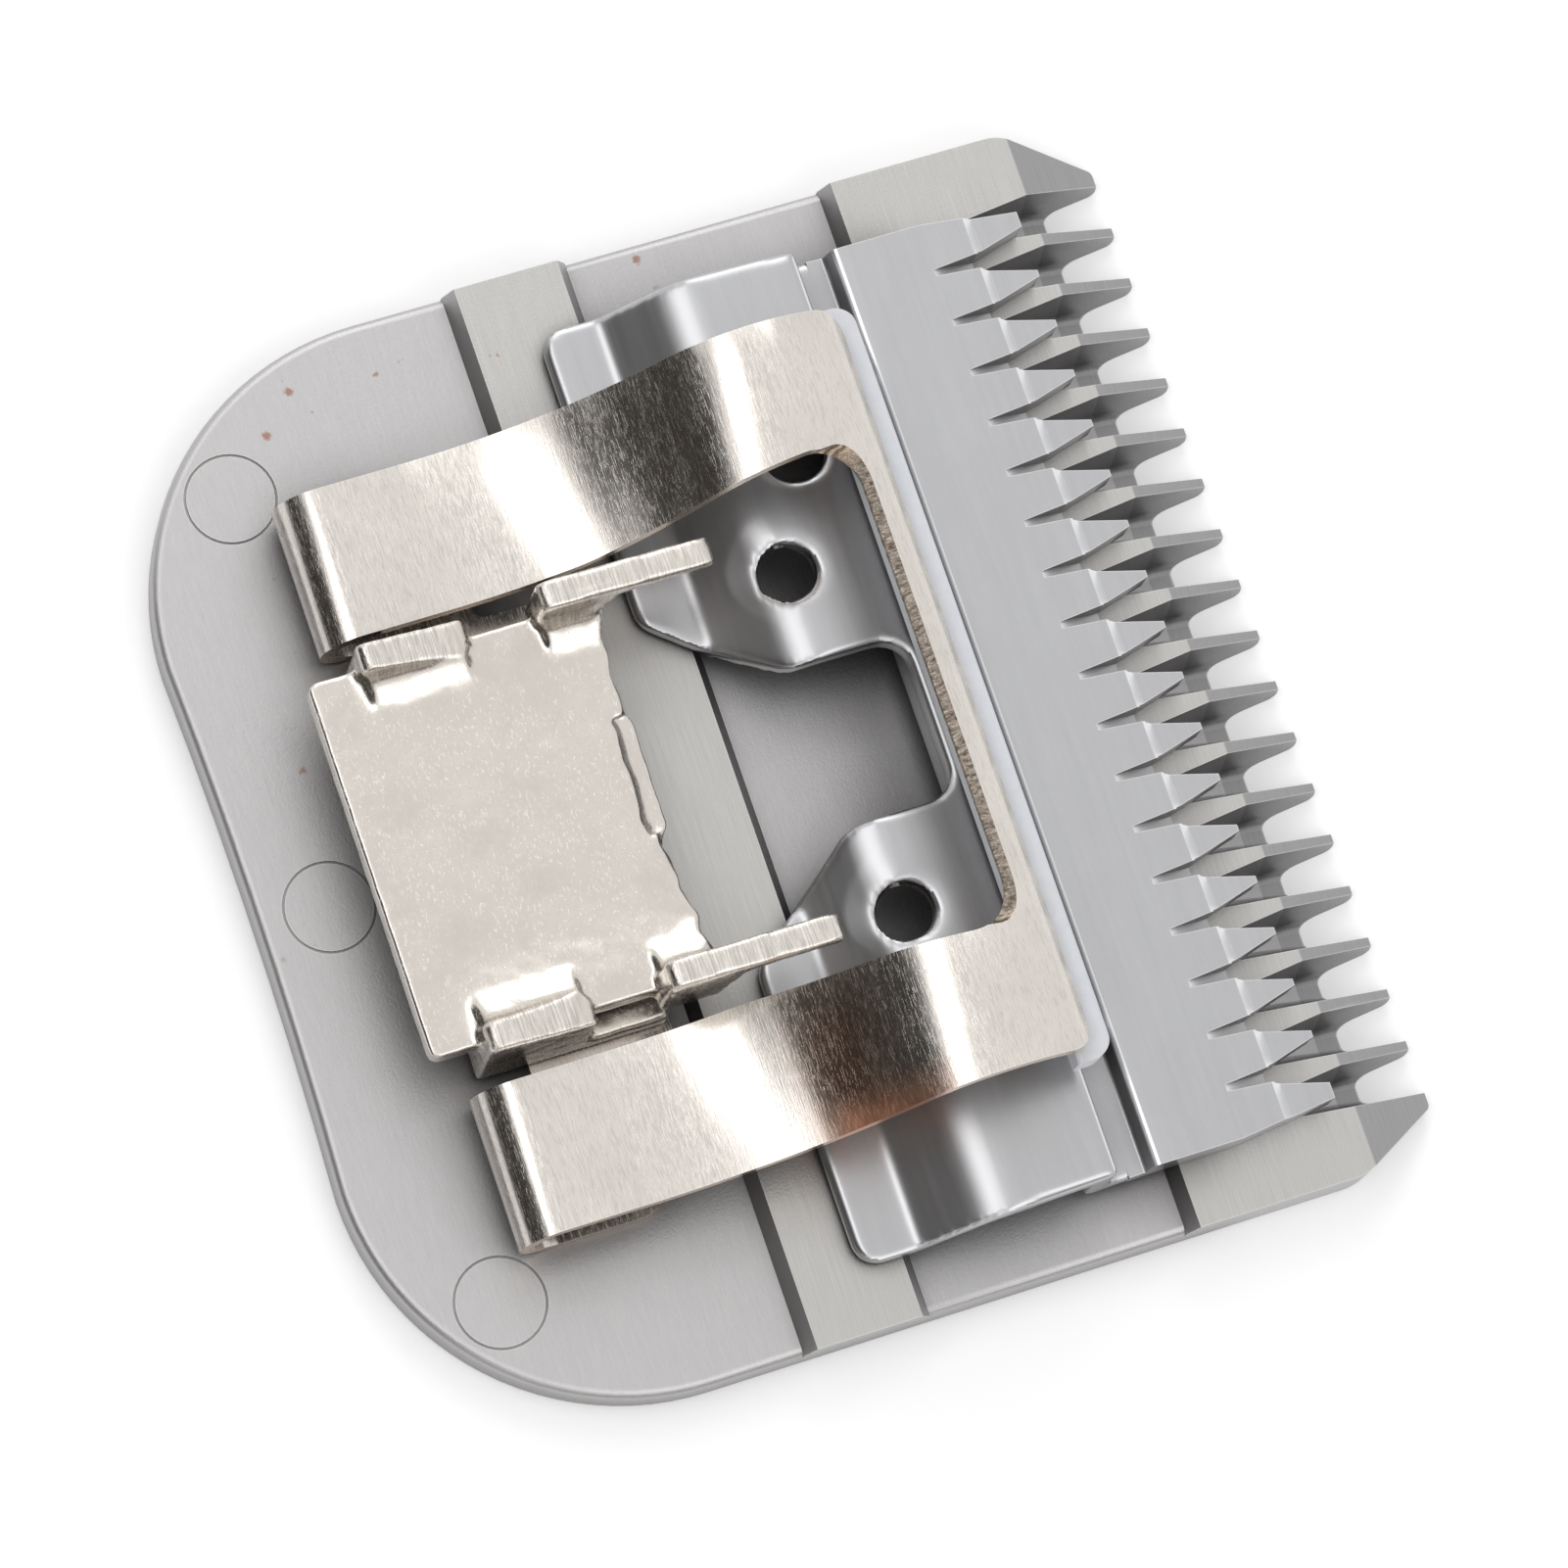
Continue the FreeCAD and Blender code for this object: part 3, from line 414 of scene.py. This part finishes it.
def cutter_mesh():
    """Ground bar and teeth with crisp edges, and platform, lugs and feet with rounded ones."""
    bar = bmesh.new()
    bar.from_mesh(cutter.data)
    bmesh.ops.remove_doubles(bar, verts=bar.verts[:], dist=seam_gap)
    cut_at(bar, cutter_split, True)
    for edge in bar.edges:
        edge.smooth = len(edge.link_faces) == 2 and edge.calc_face_angle() < bar_smooth_turn
    pressed = bmesh.new()
    pressed.from_mesh(tumbled_shape(cutter, cutter_cell, cutter_passes))
    cut_at(pressed, cutter_split, False)
    for vertex in pressed.verts:
        for side in (-1, 1):
            middle = Vector((side * lug_hole_place[0], lug_hole_place[1], 0.0)) * mm
            out = Vector((vertex.co.x, vertex.co.y, 0.0)) - middle
            share = (lug_hole_reach - out.length) / (lug_hole_reach - lug_hole_rim)
            if share > 0.0 and out.length > lug_hole_core:
                vertex.co -= out.normalized() * min(1.0, share) * lug_hole_gain
    whole = bmesh.new()
    for half in (bar, pressed):
        for face in half.faces:
            face.smooth = True
        half_mesh = bpy.data.meshes.new("cutter_half")
        half.to_mesh(half_mesh)
        half.free()
        whole.from_mesh(half_mesh)
    mesh = bpy.data.meshes.new("cutter_pressed_and_ground")
    whole.to_mesh(mesh)
    whole.free()
    return mesh


def cutter_finish():
    """Smooth bluish grey steel with soft streaks along the stroke."""
    steel = Finish("cutter_steel", 0.3)
    streaks = steel.effect(lines_effect, Stretch=(0.12, 3.0, 3.0), Contrast=1.3)
    cloud = steel.effect(grain_effect, Size=2.0, Contrast=1.4)
    edge = steel.effect(edge_effect, Gain=6.0)
    colour = steel.mix_colour(streaks, pressed_dark, pressed_light)
    colour = steel.mix_colour(steel.spread(cloud, 0.0, 0.35), colour, pressed_cloud)
    colour = steel.mix_colour(steel.spread(edge, 0.0, 0.8), colour, cutter_rubbed)

    # The small step across the teeth and the bar's upper rear edge get painted highlights.
    step_highlight = steel.facing((0.0, 0.664, 0.747), start=0.955, stop=0.985)
    colour = steel.mix_colour(steel.spread(step_highlight, 0.0, 0.75), colour, step_painted_highlight)
    rear_edge_highlight = steel.facing((0.0, -0.5, 0.866), start=0.88, stop=0.96)
    on_bar = steel.effect(zone_effect, Low=10.0, High=10.1, Axis=to_the_tips)
    rear_edge_highlight = steel.combine("MULTIPLY", rear_edge_highlight, on_bar)
    colour = steel.mix_colour(rear_edge_highlight, colour, bar_edge_painted_highlight)

    # Painted shade darkens the narrow places.
    painted_shade = steel.effect(crevice_shade_effect, Reach=2.5, Depth=1.2)
    painted_shade = steel.spread(painted_shade, 0.0, 0.9, start=0.28)
    colour = steel.mix_colour(painted_shade, colour, cutter_painted_shade)
    return steel.finish_with(colour, steel.spread(streaks, 0.29, 0.35))


cutter_dressed = dressed_piece(
    "cutter_pressed_and_ground", cutter_mesh(), "cutter", "cutter_body",
    cutter_finish(),
)
soften_edges(cutter_dressed, cutter_edge_round)


# The guide is a rail of bluish white acetal that lies in the cutter's channel.
# It is moulded, and the spring's cross bar holds it down.
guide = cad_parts["cutter_guide"]
guide_edge_round = 0.08 * mm
guide_glow_depth = 0.5 * mm       # how far light goes into the plastic
acetal_dark = (0.72, 0.745, 0.79)
acetal_light = (0.82, 0.84, 0.88)


def guide_finish():
    """Slightly clouded plastic with a soft shine, which lets a little light in."""
    plastic = Finish("guide_plastic", 0.38, metallic=0.0)
    grain = plastic.effect(grain_effect, Size=0.5, Contrast=1.0)
    colour = plastic.mix_colour(grain, acetal_dark, acetal_light)
    plastic.shader.inputs["Subsurface Weight"].default_value = 0.2
    plastic.shader.inputs["Subsurface Scale"].default_value = guide_glow_depth
    normal = plastic.bump(grain, depth=0.006 * mm, strength=0.3)
    return plastic.finish_with(colour, normal=normal)


guide.data.materials[0] = guide_finish()
soften_edges(guide, guide_edge_round)


# The tension spring is one strip of spring steel, cut out, bent twice and nickel plated.
# Its arms press the cutter down on the comb. Its cut edges are rough and granular.
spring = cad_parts["tension_spring"]
spring_edge_round = 0.23 * mm
to_the_right = (1.0, 0.0, 0.0)
to_the_left = (-1.0, 0.0, 0.0)
to_the_rear = (0.0, -1.0, 0.0)

spring_dark = (0.60, 0.565, 0.525)
spring_light = (0.70, 0.655, 0.61)
spring_line = (0.82, 0.78, 0.73)
spring_nick = (0.34, 0.30, 0.27)
spring_rubbed = (0.88, 0.85, 0.80)
torn_dark = (0.16, 0.115, 0.085)
torn_light = (0.74, 0.66, 0.57)
cut_side_dark = (0.60, 0.44, 0.31)
cut_side_light = (0.92, 0.76, 0.58)
# The next two colours are a painted warm reflection.
bend_painted_reflection = (0.46, 0.22, 0.12)
rim_painted_reflection = (0.70, 0.32, 0.19)
# painted shade for the narrow places
spring_painted_shade = (0.13, 0.09, 0.065)


def along_arm(nickel, rise_from, rise_to, fall_from, fall_to):
    """Mask that rises and then falls again from the rear to the front of an arm, in mm."""
    return nickel.combine(
        "MULTIPLY",
        nickel.effect(zone_effect, Low=rise_from, High=rise_to, Axis=to_the_tips),
        nickel.effect(zone_effect, Low=-fall_to, High=-fall_from, Axis=to_the_rear),
    )


def spring_finish():
    """Warm nickel with fine lines across the strip, small nicks, and rough cut edges."""
    nickel = Finish("spring_nickel", 0.22)
    lines = nickel.effect(lines_effect, Stretch=(1.6, 26.0, 26.0), Contrast=2.4)
    nicks = nickel.effect(lines_effect, Stretch=(1.5, 13.0, 13.0), Contrast=5.0, Detail=2.0)
    scratches = nickel.effect(lines_effect, Stretch=(0.9, 15.0, 15.0), Contrast=2.2, Detail=1.5)
    cloud = nickel.effect(grain_effect, Size=2.5, Contrast=1.6)
    edge = nickel.effect(edge_effect, Gain=5.0)
    colour = nickel.mix_colour(cloud, spring_dark, spring_light)
    colour = nickel.mix_colour(nickel.spread(lines, 0.0, 0.45), colour, spring_line)
    in_nick = nickel.spread(nicks, 0.22, 0.0, stop=0.25)
    colour = nickel.mix_colour(in_nick, colour, spring_nick)
    colour = nickel.mix_colour(nickel.spread(edge, 0.0, 0.5), colour, spring_rubbed)

    # The shear tore the front side of the opening, which faces the rear: dark pits, bright threads.
    backward = nickel.facing(to_the_rear, start=0.38, stop=0.44, normal="True Normal")
    at_front = nickel.effect(zone_effect, Low=5.4, High=5.6, Axis=to_the_tips)
    sheared = nickel.combine("MULTIPLY", backward, at_front)
    torn = nickel.effect(lines_effect, Stretch=(7.0, 2.2, 2.2), Contrast=3.2)
    rough = nickel.mix_colour(torn, torn_dark, torn_light)
    colour = nickel.mix_colour(sheared, colour, rough)

    # The cut sides of the arms are thinly plated and brownish.
    right_sides = nickel.facing(to_the_right, start=0.25, stop=0.60)
    left_sides = nickel.facing(to_the_left, start=0.45, stop=0.80)
    cut_side = nickel.combine("MAXIMUM", right_sides, left_sides)
    brown = nickel.mix_colour(lines, cut_side_dark, cut_side_light)
    colour = nickel.mix_colour(nickel.spread(cut_side, 0.0, 0.85), colour, brown)

    # The right arm's bend gets a painted warm brown reflection, most of all at its outer rim.
    outer_half = nickel.effect(zone_effect, Low=9.5, High=13.2, Axis=to_the_right)
    warm_reflection = nickel.combine("MULTIPLY", outer_half, along_arm(nickel, -5.2, -2.6, -2.2, 0.4))
    colour = nickel.mix_colour(nickel.spread(warm_reflection, 0.0, 0.6), colour, bend_painted_reflection)
    rim_reflection = nickel.effect(zone_effect, Low=15.2, High=17.2, Axis=to_the_right)
    rim_reflection = nickel.combine("MULTIPLY", rim_reflection, along_arm(nickel, -4.4, -2.6, -0.6, 2.2))
    colour = nickel.mix_colour(nickel.spread(rim_reflection, 0.0, 0.8), colour, rim_painted_reflection)

    # Painted shade darkens the narrow places.
    painted_shade = nickel.effect(crevice_shade_effect, Reach=1.3, Depth=1.2)
    colour = nickel.mix_colour(nickel.spread(painted_shade, 0.0, 0.8), colour, spring_painted_shade)
    roughness = nickel.spread(cloud, 0.15, 0.21)
    for rougher in (nickel.spread(lines, 0.0, 0.22, start=0.55, stop=0.95),
                    nickel.spread(sheared, 0.0, 0.3), nickel.spread(rim_reflection, 0.0, 0.14)):
        roughness = nickel.combine("ADD", roughness, rougher)
    deep_nicks = nickel.spread(nicks, 0.0, 1.0, start=0.88)
    torn_pits = nickel.combine("MULTIPLY", torn, sheared)
    normal = nickel.bump(scratches, depth=0.0019 * mm, strength=0.6)
    normal = nickel.bump(deep_nicks, depth=0.0025 * mm, strength=0.5, under=normal)
    normal = nickel.bump(torn_pits, depth=0.10 * mm, strength=0.8, under=normal)
    return nickel.finish_with(colour, roughness, normal)


spring.data.materials[0] = spring_finish()
soften_edges(spring, spring_edge_round, 4)


# The blade socket is a thick bracket, pressed from sheet steel and nickel plated.
# The clipper's tongue slides in under its roof, and two screws hold its floor on the comb.
blade_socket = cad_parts["blade_socket"]
socket_cell = 0.14                # mm, mesh cells before the shape is rounded
socket_passes = 7                 # rounds of smoothing over those cells
skin_wave = (1.6, 0.02)           # waves to a mm, and their height in mm
torn_wave = (1.3, 0.20)           # the same for the ragged edge
torn_lift = 0.3                   # how much of the raggedness also goes up and down
wave_seed = 5                     # gives the same waves and the same ragged edge on every run

roof_half_width = 6.0             # mm, like the other lengths down to the colours
roof_middle_half_width = 1.0      # where the roof's height is read
roof_skin = 0.4                   # what counts as the roof's upper skin, for its front edge
roof_depth = 1.6                  # the tear reaches no deeper than this under the roof's top
tear_half_width = 8.6             # and no further out than this
tear_reach = 1.6                  # how far from the front edge the tear fades out
tear_depth = 0.55
tear_left_end = -8.5
tear_deepest = 1.5
tear_right_end = 8.0
leaf_middle = -0.7                # a thin leaf of metal is left under the roof, in the tear
leaf_half_length = 3.2
leaf_depth = 0.9                  # how far back from the front edge it reaches
leaf_top = 0.2                    # under the roof's top
leaf_bottom = 0.75
leaf_squeeze = 0.25               # how much of its thickness is left
leaf_share = 0.30                 # how much of the tear reaches it
swell_height = 0.22               # how far the roof rises towards its bends
swell_start = 4.6                 # distance from the middle where it starts to rise
swell_run = 3.4
swell_rear = -17.6                # where it starts at the rear
swell_rear_run = 1.6
swell_under = 1.5                 # how far under the roof's top the sheet still rises

socket_dark = (0.60, 0.562, 0.515)
socket_light = (0.68, 0.637, 0.585)
# painted glint on the raised dashes of the skin
peel_painted_glint = (0.92, 0.89, 0.85)
rib_dark = (0.46, 0.43, 0.39)
rib_light = (0.84, 0.80, 0.75)
socket_rubbed = (0.88, 0.85, 0.79)
# painted shade for the narrow places
socket_painted_shade = (0.16, 0.115, 0.085)


def ease(value):
    """Soft step from 0 to 1."""
    value = min(1.0, max(0.0, value))
    return value * value * (3.0 - 2.0 * value)


def torn_setback(x):
    """How far the press tore the roof's front edge back, at a place across the blade, in mm."""
    if x < tear_deepest:
        return tear_depth * ease((x - tear_left_end) / (tear_deepest - tear_left_end))
    return tear_depth * ease((tear_right_end - x) / (tear_right_end - tear_deepest))


def uneven(in_mm, wave):
    """Smooth random shift of a point, as large as the wave's height."""
    per_mm, height = wave
    return noise.noise_vector(in_mm * per_mm) * height * mm


def socket_mesh():
    """Thick sheet with soft bends, a wavy skin, and a ragged edge where the press tore it."""
    noise.seed_set(wave_seed)
    mesh = tumbled_shape(blade_socket, socket_cell, socket_passes)
    roof = [vertex.co for vertex in mesh.vertices if abs(vertex.co.x) < roof_half_width * mm]
    top = max(place.z for place in roof if abs(place.x) < roof_middle_half_width * mm)
    front = max(place.y for place in roof if place.z > top - roof_skin * mm)
    leaf_high = top - leaf_top * mm
    leaf_low = top - leaf_bottom * mm
    for vertex in mesh.vertices:
        place = vertex.co.copy()
        in_mm = place / mm
        near = ease(1.0 - abs(place.y - front) / (tear_reach * mm))
        if place.z < top - roof_depth * mm or abs(in_mm.x) > tear_half_width:
            near = 0.0
        along_leaf = (in_mm.x - leaf_middle) / leaf_half_length
        in_tear = abs(along_leaf) < 1.0 and place.y > front - leaf_depth * mm
        if in_tear and leaf_low < place.z < leaf_high:
            place.z = leaf_high - (leaf_high - place.z) * leaf_squeeze
            lens = ease(2.0 - 2.0 * along_leaf ** 2)
            near *= 1.0 - lens * (1.0 - leaf_share)
        above = (place.z - top) / mm
        swell = ease((abs(in_mm.x) - swell_start) / swell_run)
        swell *= ease((in_mm.y - swell_rear) / swell_rear_run)
        place.z += swell_height * mm * swell * ease(above + swell_under) * ease(1.0 - above)
        place.y -= torn_setback(in_mm.x) * mm * near
        ragged = uneven(in_mm, torn_wave) * near
        vertex.co = place + uneven(in_mm, skin_wave) + Vector((0.0, ragged.y, ragged.z * torn_lift))
    mesh.shade_smooth()
    return mesh


def socket_finish():
    """Nickel over a skin that peeled like an orange in the press, with ribbed cut edges."""
    nickel = Finish("socket_nickel", 0.28)
    peel = nickel.effect(lines_effect, Stretch=(2.0, 3.2, 2.0), Contrast=2.0, Detail=2.0)
    dashes = nickel.effect(lines_effect, Stretch=(3.6, 9.0, 9.0), Contrast=4.0, Detail=3.0)
    lines = nickel.effect(lines_effect, Stretch=(0.7, 11.0, 0.7), Contrast=3.0, Detail=3.0)
    cloud = nickel.effect(grain_effect, Size=2.2, Contrast=1.8)
    edge = nickel.effect(edge_effect, Gain=5.0)
    colour = nickel.mix_colour(cloud, socket_dark, socket_light)
    # The raised dashes of the peeled skin get a painted glint, and the same mask lifts them in the
    # relief.
    raised_and_glinting = nickel.spread(dashes, 0.0, 1.0, start=0.88)
    patches = nickel.spread(cloud, 0.15, 0.9, start=0.35, stop=0.75)
    raised_and_glinting = nickel.combine("MULTIPLY", raised_and_glinting, patches)
    colour = nickel.mix_colour(nickel.spread(raised_and_glinting, 0.0, 0.6), colour, peel_painted_glint)

    # The ears' upper edges are cut sides: the shear left ribs across them.
    on_ears = nickel.effect(zone_effect, Low=7.9, High=8.3)
    ribbed = nickel.mix_colour(lines, rib_dark, rib_light)
    colour = nickel.mix_colour(nickel.spread(on_ears, 0.0, 0.8), colour, ribbed)
    colour = nickel.mix_colour(nickel.spread(edge, 0.0, 0.55), colour, socket_rubbed)

    # Painted shade darkens the narrow places.
    painted_shade = nickel.effect(crevice_shade_effect, Reach=1.3, Depth=1.1)
    painted_shade = nickel.spread(painted_shade, 0.0, 0.85, start=0.30)
    colour = nickel.mix_colour(painted_shade, colour, socket_painted_shade)
    roughness = nickel.spread(peel, 0.20, 0.30)
    ribs = nickel.combine("MULTIPLY", lines, on_ears)
    normal = nickel.bump(peel, depth=0.006 * mm, strength=0.6)
    normal = nickel.bump(raised_and_glinting, depth=0.010 * mm, strength=0.7, under=normal)
    normal = nickel.bump(ribs, depth=0.015 * mm, strength=0.5, under=normal)
    return nickel.finish_with(colour, roughness, normal)


dressed_piece(
    "blade_socket_plated", socket_mesh(), "blade_socket", "comb_body",
    socket_finish(),
)


# Two countersunk steel screws hold the socket and the spring base on the comb, from below.
# They are turned from bar and left plain, and their heads lie in the comb's skin side.
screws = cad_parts["socket_screws"]
screw_edge_round = 0.05 * mm
screw_dark = (0.45, 0.44, 0.43)
screw_light = (0.6, 0.59, 0.57)


def screw_finish():
    """Plain turned steel with a fine uneven skin."""
    steel = Finish("screw_steel", 0.35)
    turned = steel.effect(grain_effect, Size=0.3, Contrast=1.5)
    colour = steel.mix_colour(turned, screw_dark, screw_light)
    normal = steel.bump(turned, depth=0.01 * mm, strength=0.4)
    return steel.finish_with(colour, normal=normal)


screws.data.materials[0] = screw_finish()
soften_edges(screws, screw_edge_round)


# The blade lies on a plain pale table that keeps its shadow, in a white room.
# What the camera and the mirroring metal see of both is brighter than the light they give.
table_half_size = 2.0
table_paper = (0.93, 0.93, 0.93)
table_lift = 0.27                 # glow that brings the seen table up to white
room_light = 0.55                 # strength of the room as a lamp
room_seen = 1.0                   # strength of the room as a backdrop


def seen_directly(nodes, links):
    """1 for what the camera or a mirror sees, or what is seen through glass, and 0 for the rest."""
    path = add(nodes, "ShaderNodeLightPath")
    camera_or_mirror = add(nodes, "ShaderNodeMath", operation="MAXIMUM")
    any_of_them = add(nodes, "ShaderNodeMath", operation="MAXIMUM")
    links.new(path.outputs["Is Camera Ray"], camera_or_mirror.inputs[0])
    links.new(path.outputs["Is Glossy Ray"], camera_or_mirror.inputs[1])
    links.new(camera_or_mirror.outputs[0], any_of_them.inputs[0])
    links.new(path.outputs["Is Transmission Ray"], any_of_them.inputs[1])
    return any_of_them.outputs[0]


def flat_panel(name, corners):
    """Flat object with four corners."""
    mesh = bpy.data.meshes.new(name)
    mesh.from_pydata(corners, [], [(0, 1, 2, 3)])
    panel = bpy.data.objects.new(name, mesh)
    bpy.context.scene.collection.objects.link(panel)
    return panel


def paper_finish():
    """Matte white paper without any shine."""
    paper = bpy.data.materials.new("table_paper")
    paper.use_nodes = True
    nodes = paper.node_tree.nodes
    links = paper.node_tree.links
    shader = nodes["Principled BSDF"]
    shader.inputs["Base Color"].default_value = (*table_paper, 1.0)
    shader.inputs["Roughness"].default_value = 0.9
    shader.inputs["Specular IOR Level"].default_value = 0.0
    shader.inputs["Emission Color"].default_value = (1.0, 1.0, 1.0, 1.0)
    lift = add(nodes, "ShaderNodeMath", {1: table_lift}, operation="MULTIPLY")
    links.new(seen_directly(nodes, links), lift.inputs[0])
    links.new(lift.outputs[0], shader.inputs["Emission Strength"])
    return paper


def white_room():
    """World that lights the blade evenly from all around."""
    world = bpy.data.worlds.new("white_room")
    world.use_nodes = True
    nodes = world.node_tree.nodes
    links = world.node_tree.links
    background = nodes["Background"]
    background.inputs["Color"].default_value = (1.0, 1.0, 1.0, 1.0)
    level = add(nodes, "ShaderNodeMapRange", {"To Min": room_light, "To Max": room_seen})
    links.new(seen_directly(nodes, links), level.inputs["Value"])
    links.new(level.outputs["Result"], background.inputs["Strength"])
    return world


floor = flat_panel("table_top", [
    (-table_half_size, -table_half_size, 0.0), (table_half_size, -table_half_size, 0.0),
    (table_half_size, table_half_size, 0.0), (-table_half_size, table_half_size, 0.0),
])
floor.data.materials.append(paper_finish())
bpy.context.scene.world = white_room()


# Three soft lamps give the metal its bright places. Three dark cards, which only reflections see,
# give the plated bends their dark bands.
def lamp(name, place, size, radiance):
    """Rectangular soft lamp that faces the blade, with its brightness as seen in a mirror."""
    data = bpy.data.lights.new(name, "AREA")
    data.shape = "RECTANGLE"
    data.size, data.size_y = size
    data.energy = radiance * math.pi * size[0] * size[1]
    softbox = bpy.data.objects.new(name, data)
    bpy.context.scene.collection.objects.link(softbox)
    softbox.location = place
    softbox.rotation_euler = (-Vector(place)).to_track_quat("-Z", "Y").to_euler()


def felt_finish(name, shade):
    """Dark felt that fades out towards the card's lower and upper edge."""
    felt = bpy.data.materials.new(name)
    felt.use_nodes = True
    nodes = felt.node_tree.nodes
    links = felt.node_tree.links
    nodes.remove(nodes["Principled BSDF"])
    glow = add(nodes, "ShaderNodeEmission", {"Color": (*shade, 1.0)})
    clear = add(nodes, "ShaderNodeBsdfTransparent")
    mix = add(nodes, "ShaderNodeMixShader")
    place = add(nodes, "ShaderNodeTexCoord")
    parts = add(nodes, "ShaderNodeSeparateXYZ")
    ramp = add(nodes, "ShaderNodeValToRGB")
    ramp.color_ramp.interpolation = "EASE"
    for element, position in zip(ramp.color_ramp.elements, (0.0, 1.0)):
        element.position = position
        element.color = (0.0, 0.0, 0.0, 1.0)
    for position in (0.25, 0.75):
        ramp.color_ramp.elements.new(position).color = (1.0, 1.0, 1.0, 1.0)
    links.new(place.outputs["UV"], parts.inputs[0])
    links.new(parts.outputs["Y"], ramp.inputs["Fac"])
    links.new(ramp.outputs["Color"], mix.inputs["Fac"])
    links.new(clear.outputs[0], mix.inputs[1])
    links.new(glow.outputs[0], mix.inputs[2])
    links.new(mix.outputs[0], nodes["Material Output"].inputs["Surface"])
    return felt


def dark_card(name, centre, across, up, shade):
    """Dark card that only reflections see, given by its middle and two half sides."""
    centre = Vector(centre)
    across = Vector(across)
    up = Vector(up)
    card = flat_panel(name, [centre - across - up, centre + across - up,
                             centre + across + up, centre - across + up])
    layer = card.data.uv_layers.new(name="card")
    for loop, place in zip(layer.data, ((0, 0), (1, 0), (1, 1), (0, 1))):
        loop.uv = place
    card.visible_camera = False
    card.visible_diffuse = False
    card.visible_shadow = False
    card.visible_transmission = False
    card.data.materials.append(felt_finish(name, shade))


lamp("side_softbox", (-0.50, 0.10, 0.40), (0.30, 0.50), 1.75)
lamp("rear_softbox", (-0.06, -0.27, 0.53), (0.50, 0.19), 1.7)
lamp("right_softbox", (0.34, 0.05, 0.44), (0.34, 0.34), 1.25)
dark_card("rear_flag", (0.0, -0.50, 0.25), (0.40, 0, 0), (0, 0, 0.42), (0.05, 0.045, 0.04))
dark_card("low_flag", (0.0, -0.25, 0.0015), (0.40, 0, 0), (0, 0.235, 0), (0.03, 0.026, 0.023))
dark_card("right_flag", (0.50, 0.0, 0.05), (0, 0.5, 0), (0, 0, 0.14), (0.10, 0.06, 0.045))


# The camera stands where the photo was taken from, which was worked out from the comb's corners.
# Its long lens keeps the blade's far and near sides almost equally large.
camera_data = bpy.data.cameras.new("photo_camera")
camera_data.sensor_fit = "HORIZONTAL"
camera_data.sensor_width = 36.0
camera_data.lens = 174.286
camera_data.clip_start = 0.01
camera_data.clip_end = 10.0
camera = bpy.data.objects.new("photo_camera", camera_data)
bpy.context.scene.collection.objects.link(camera)
camera.location = (0.064389, -0.071977, 0.325333)
camera.rotation_euler = (0.25174, -0.14699, 1.23845)
bpy.context.scene.camera = camera
bpy.context.scene.view_settings.view_transform = "Standard"
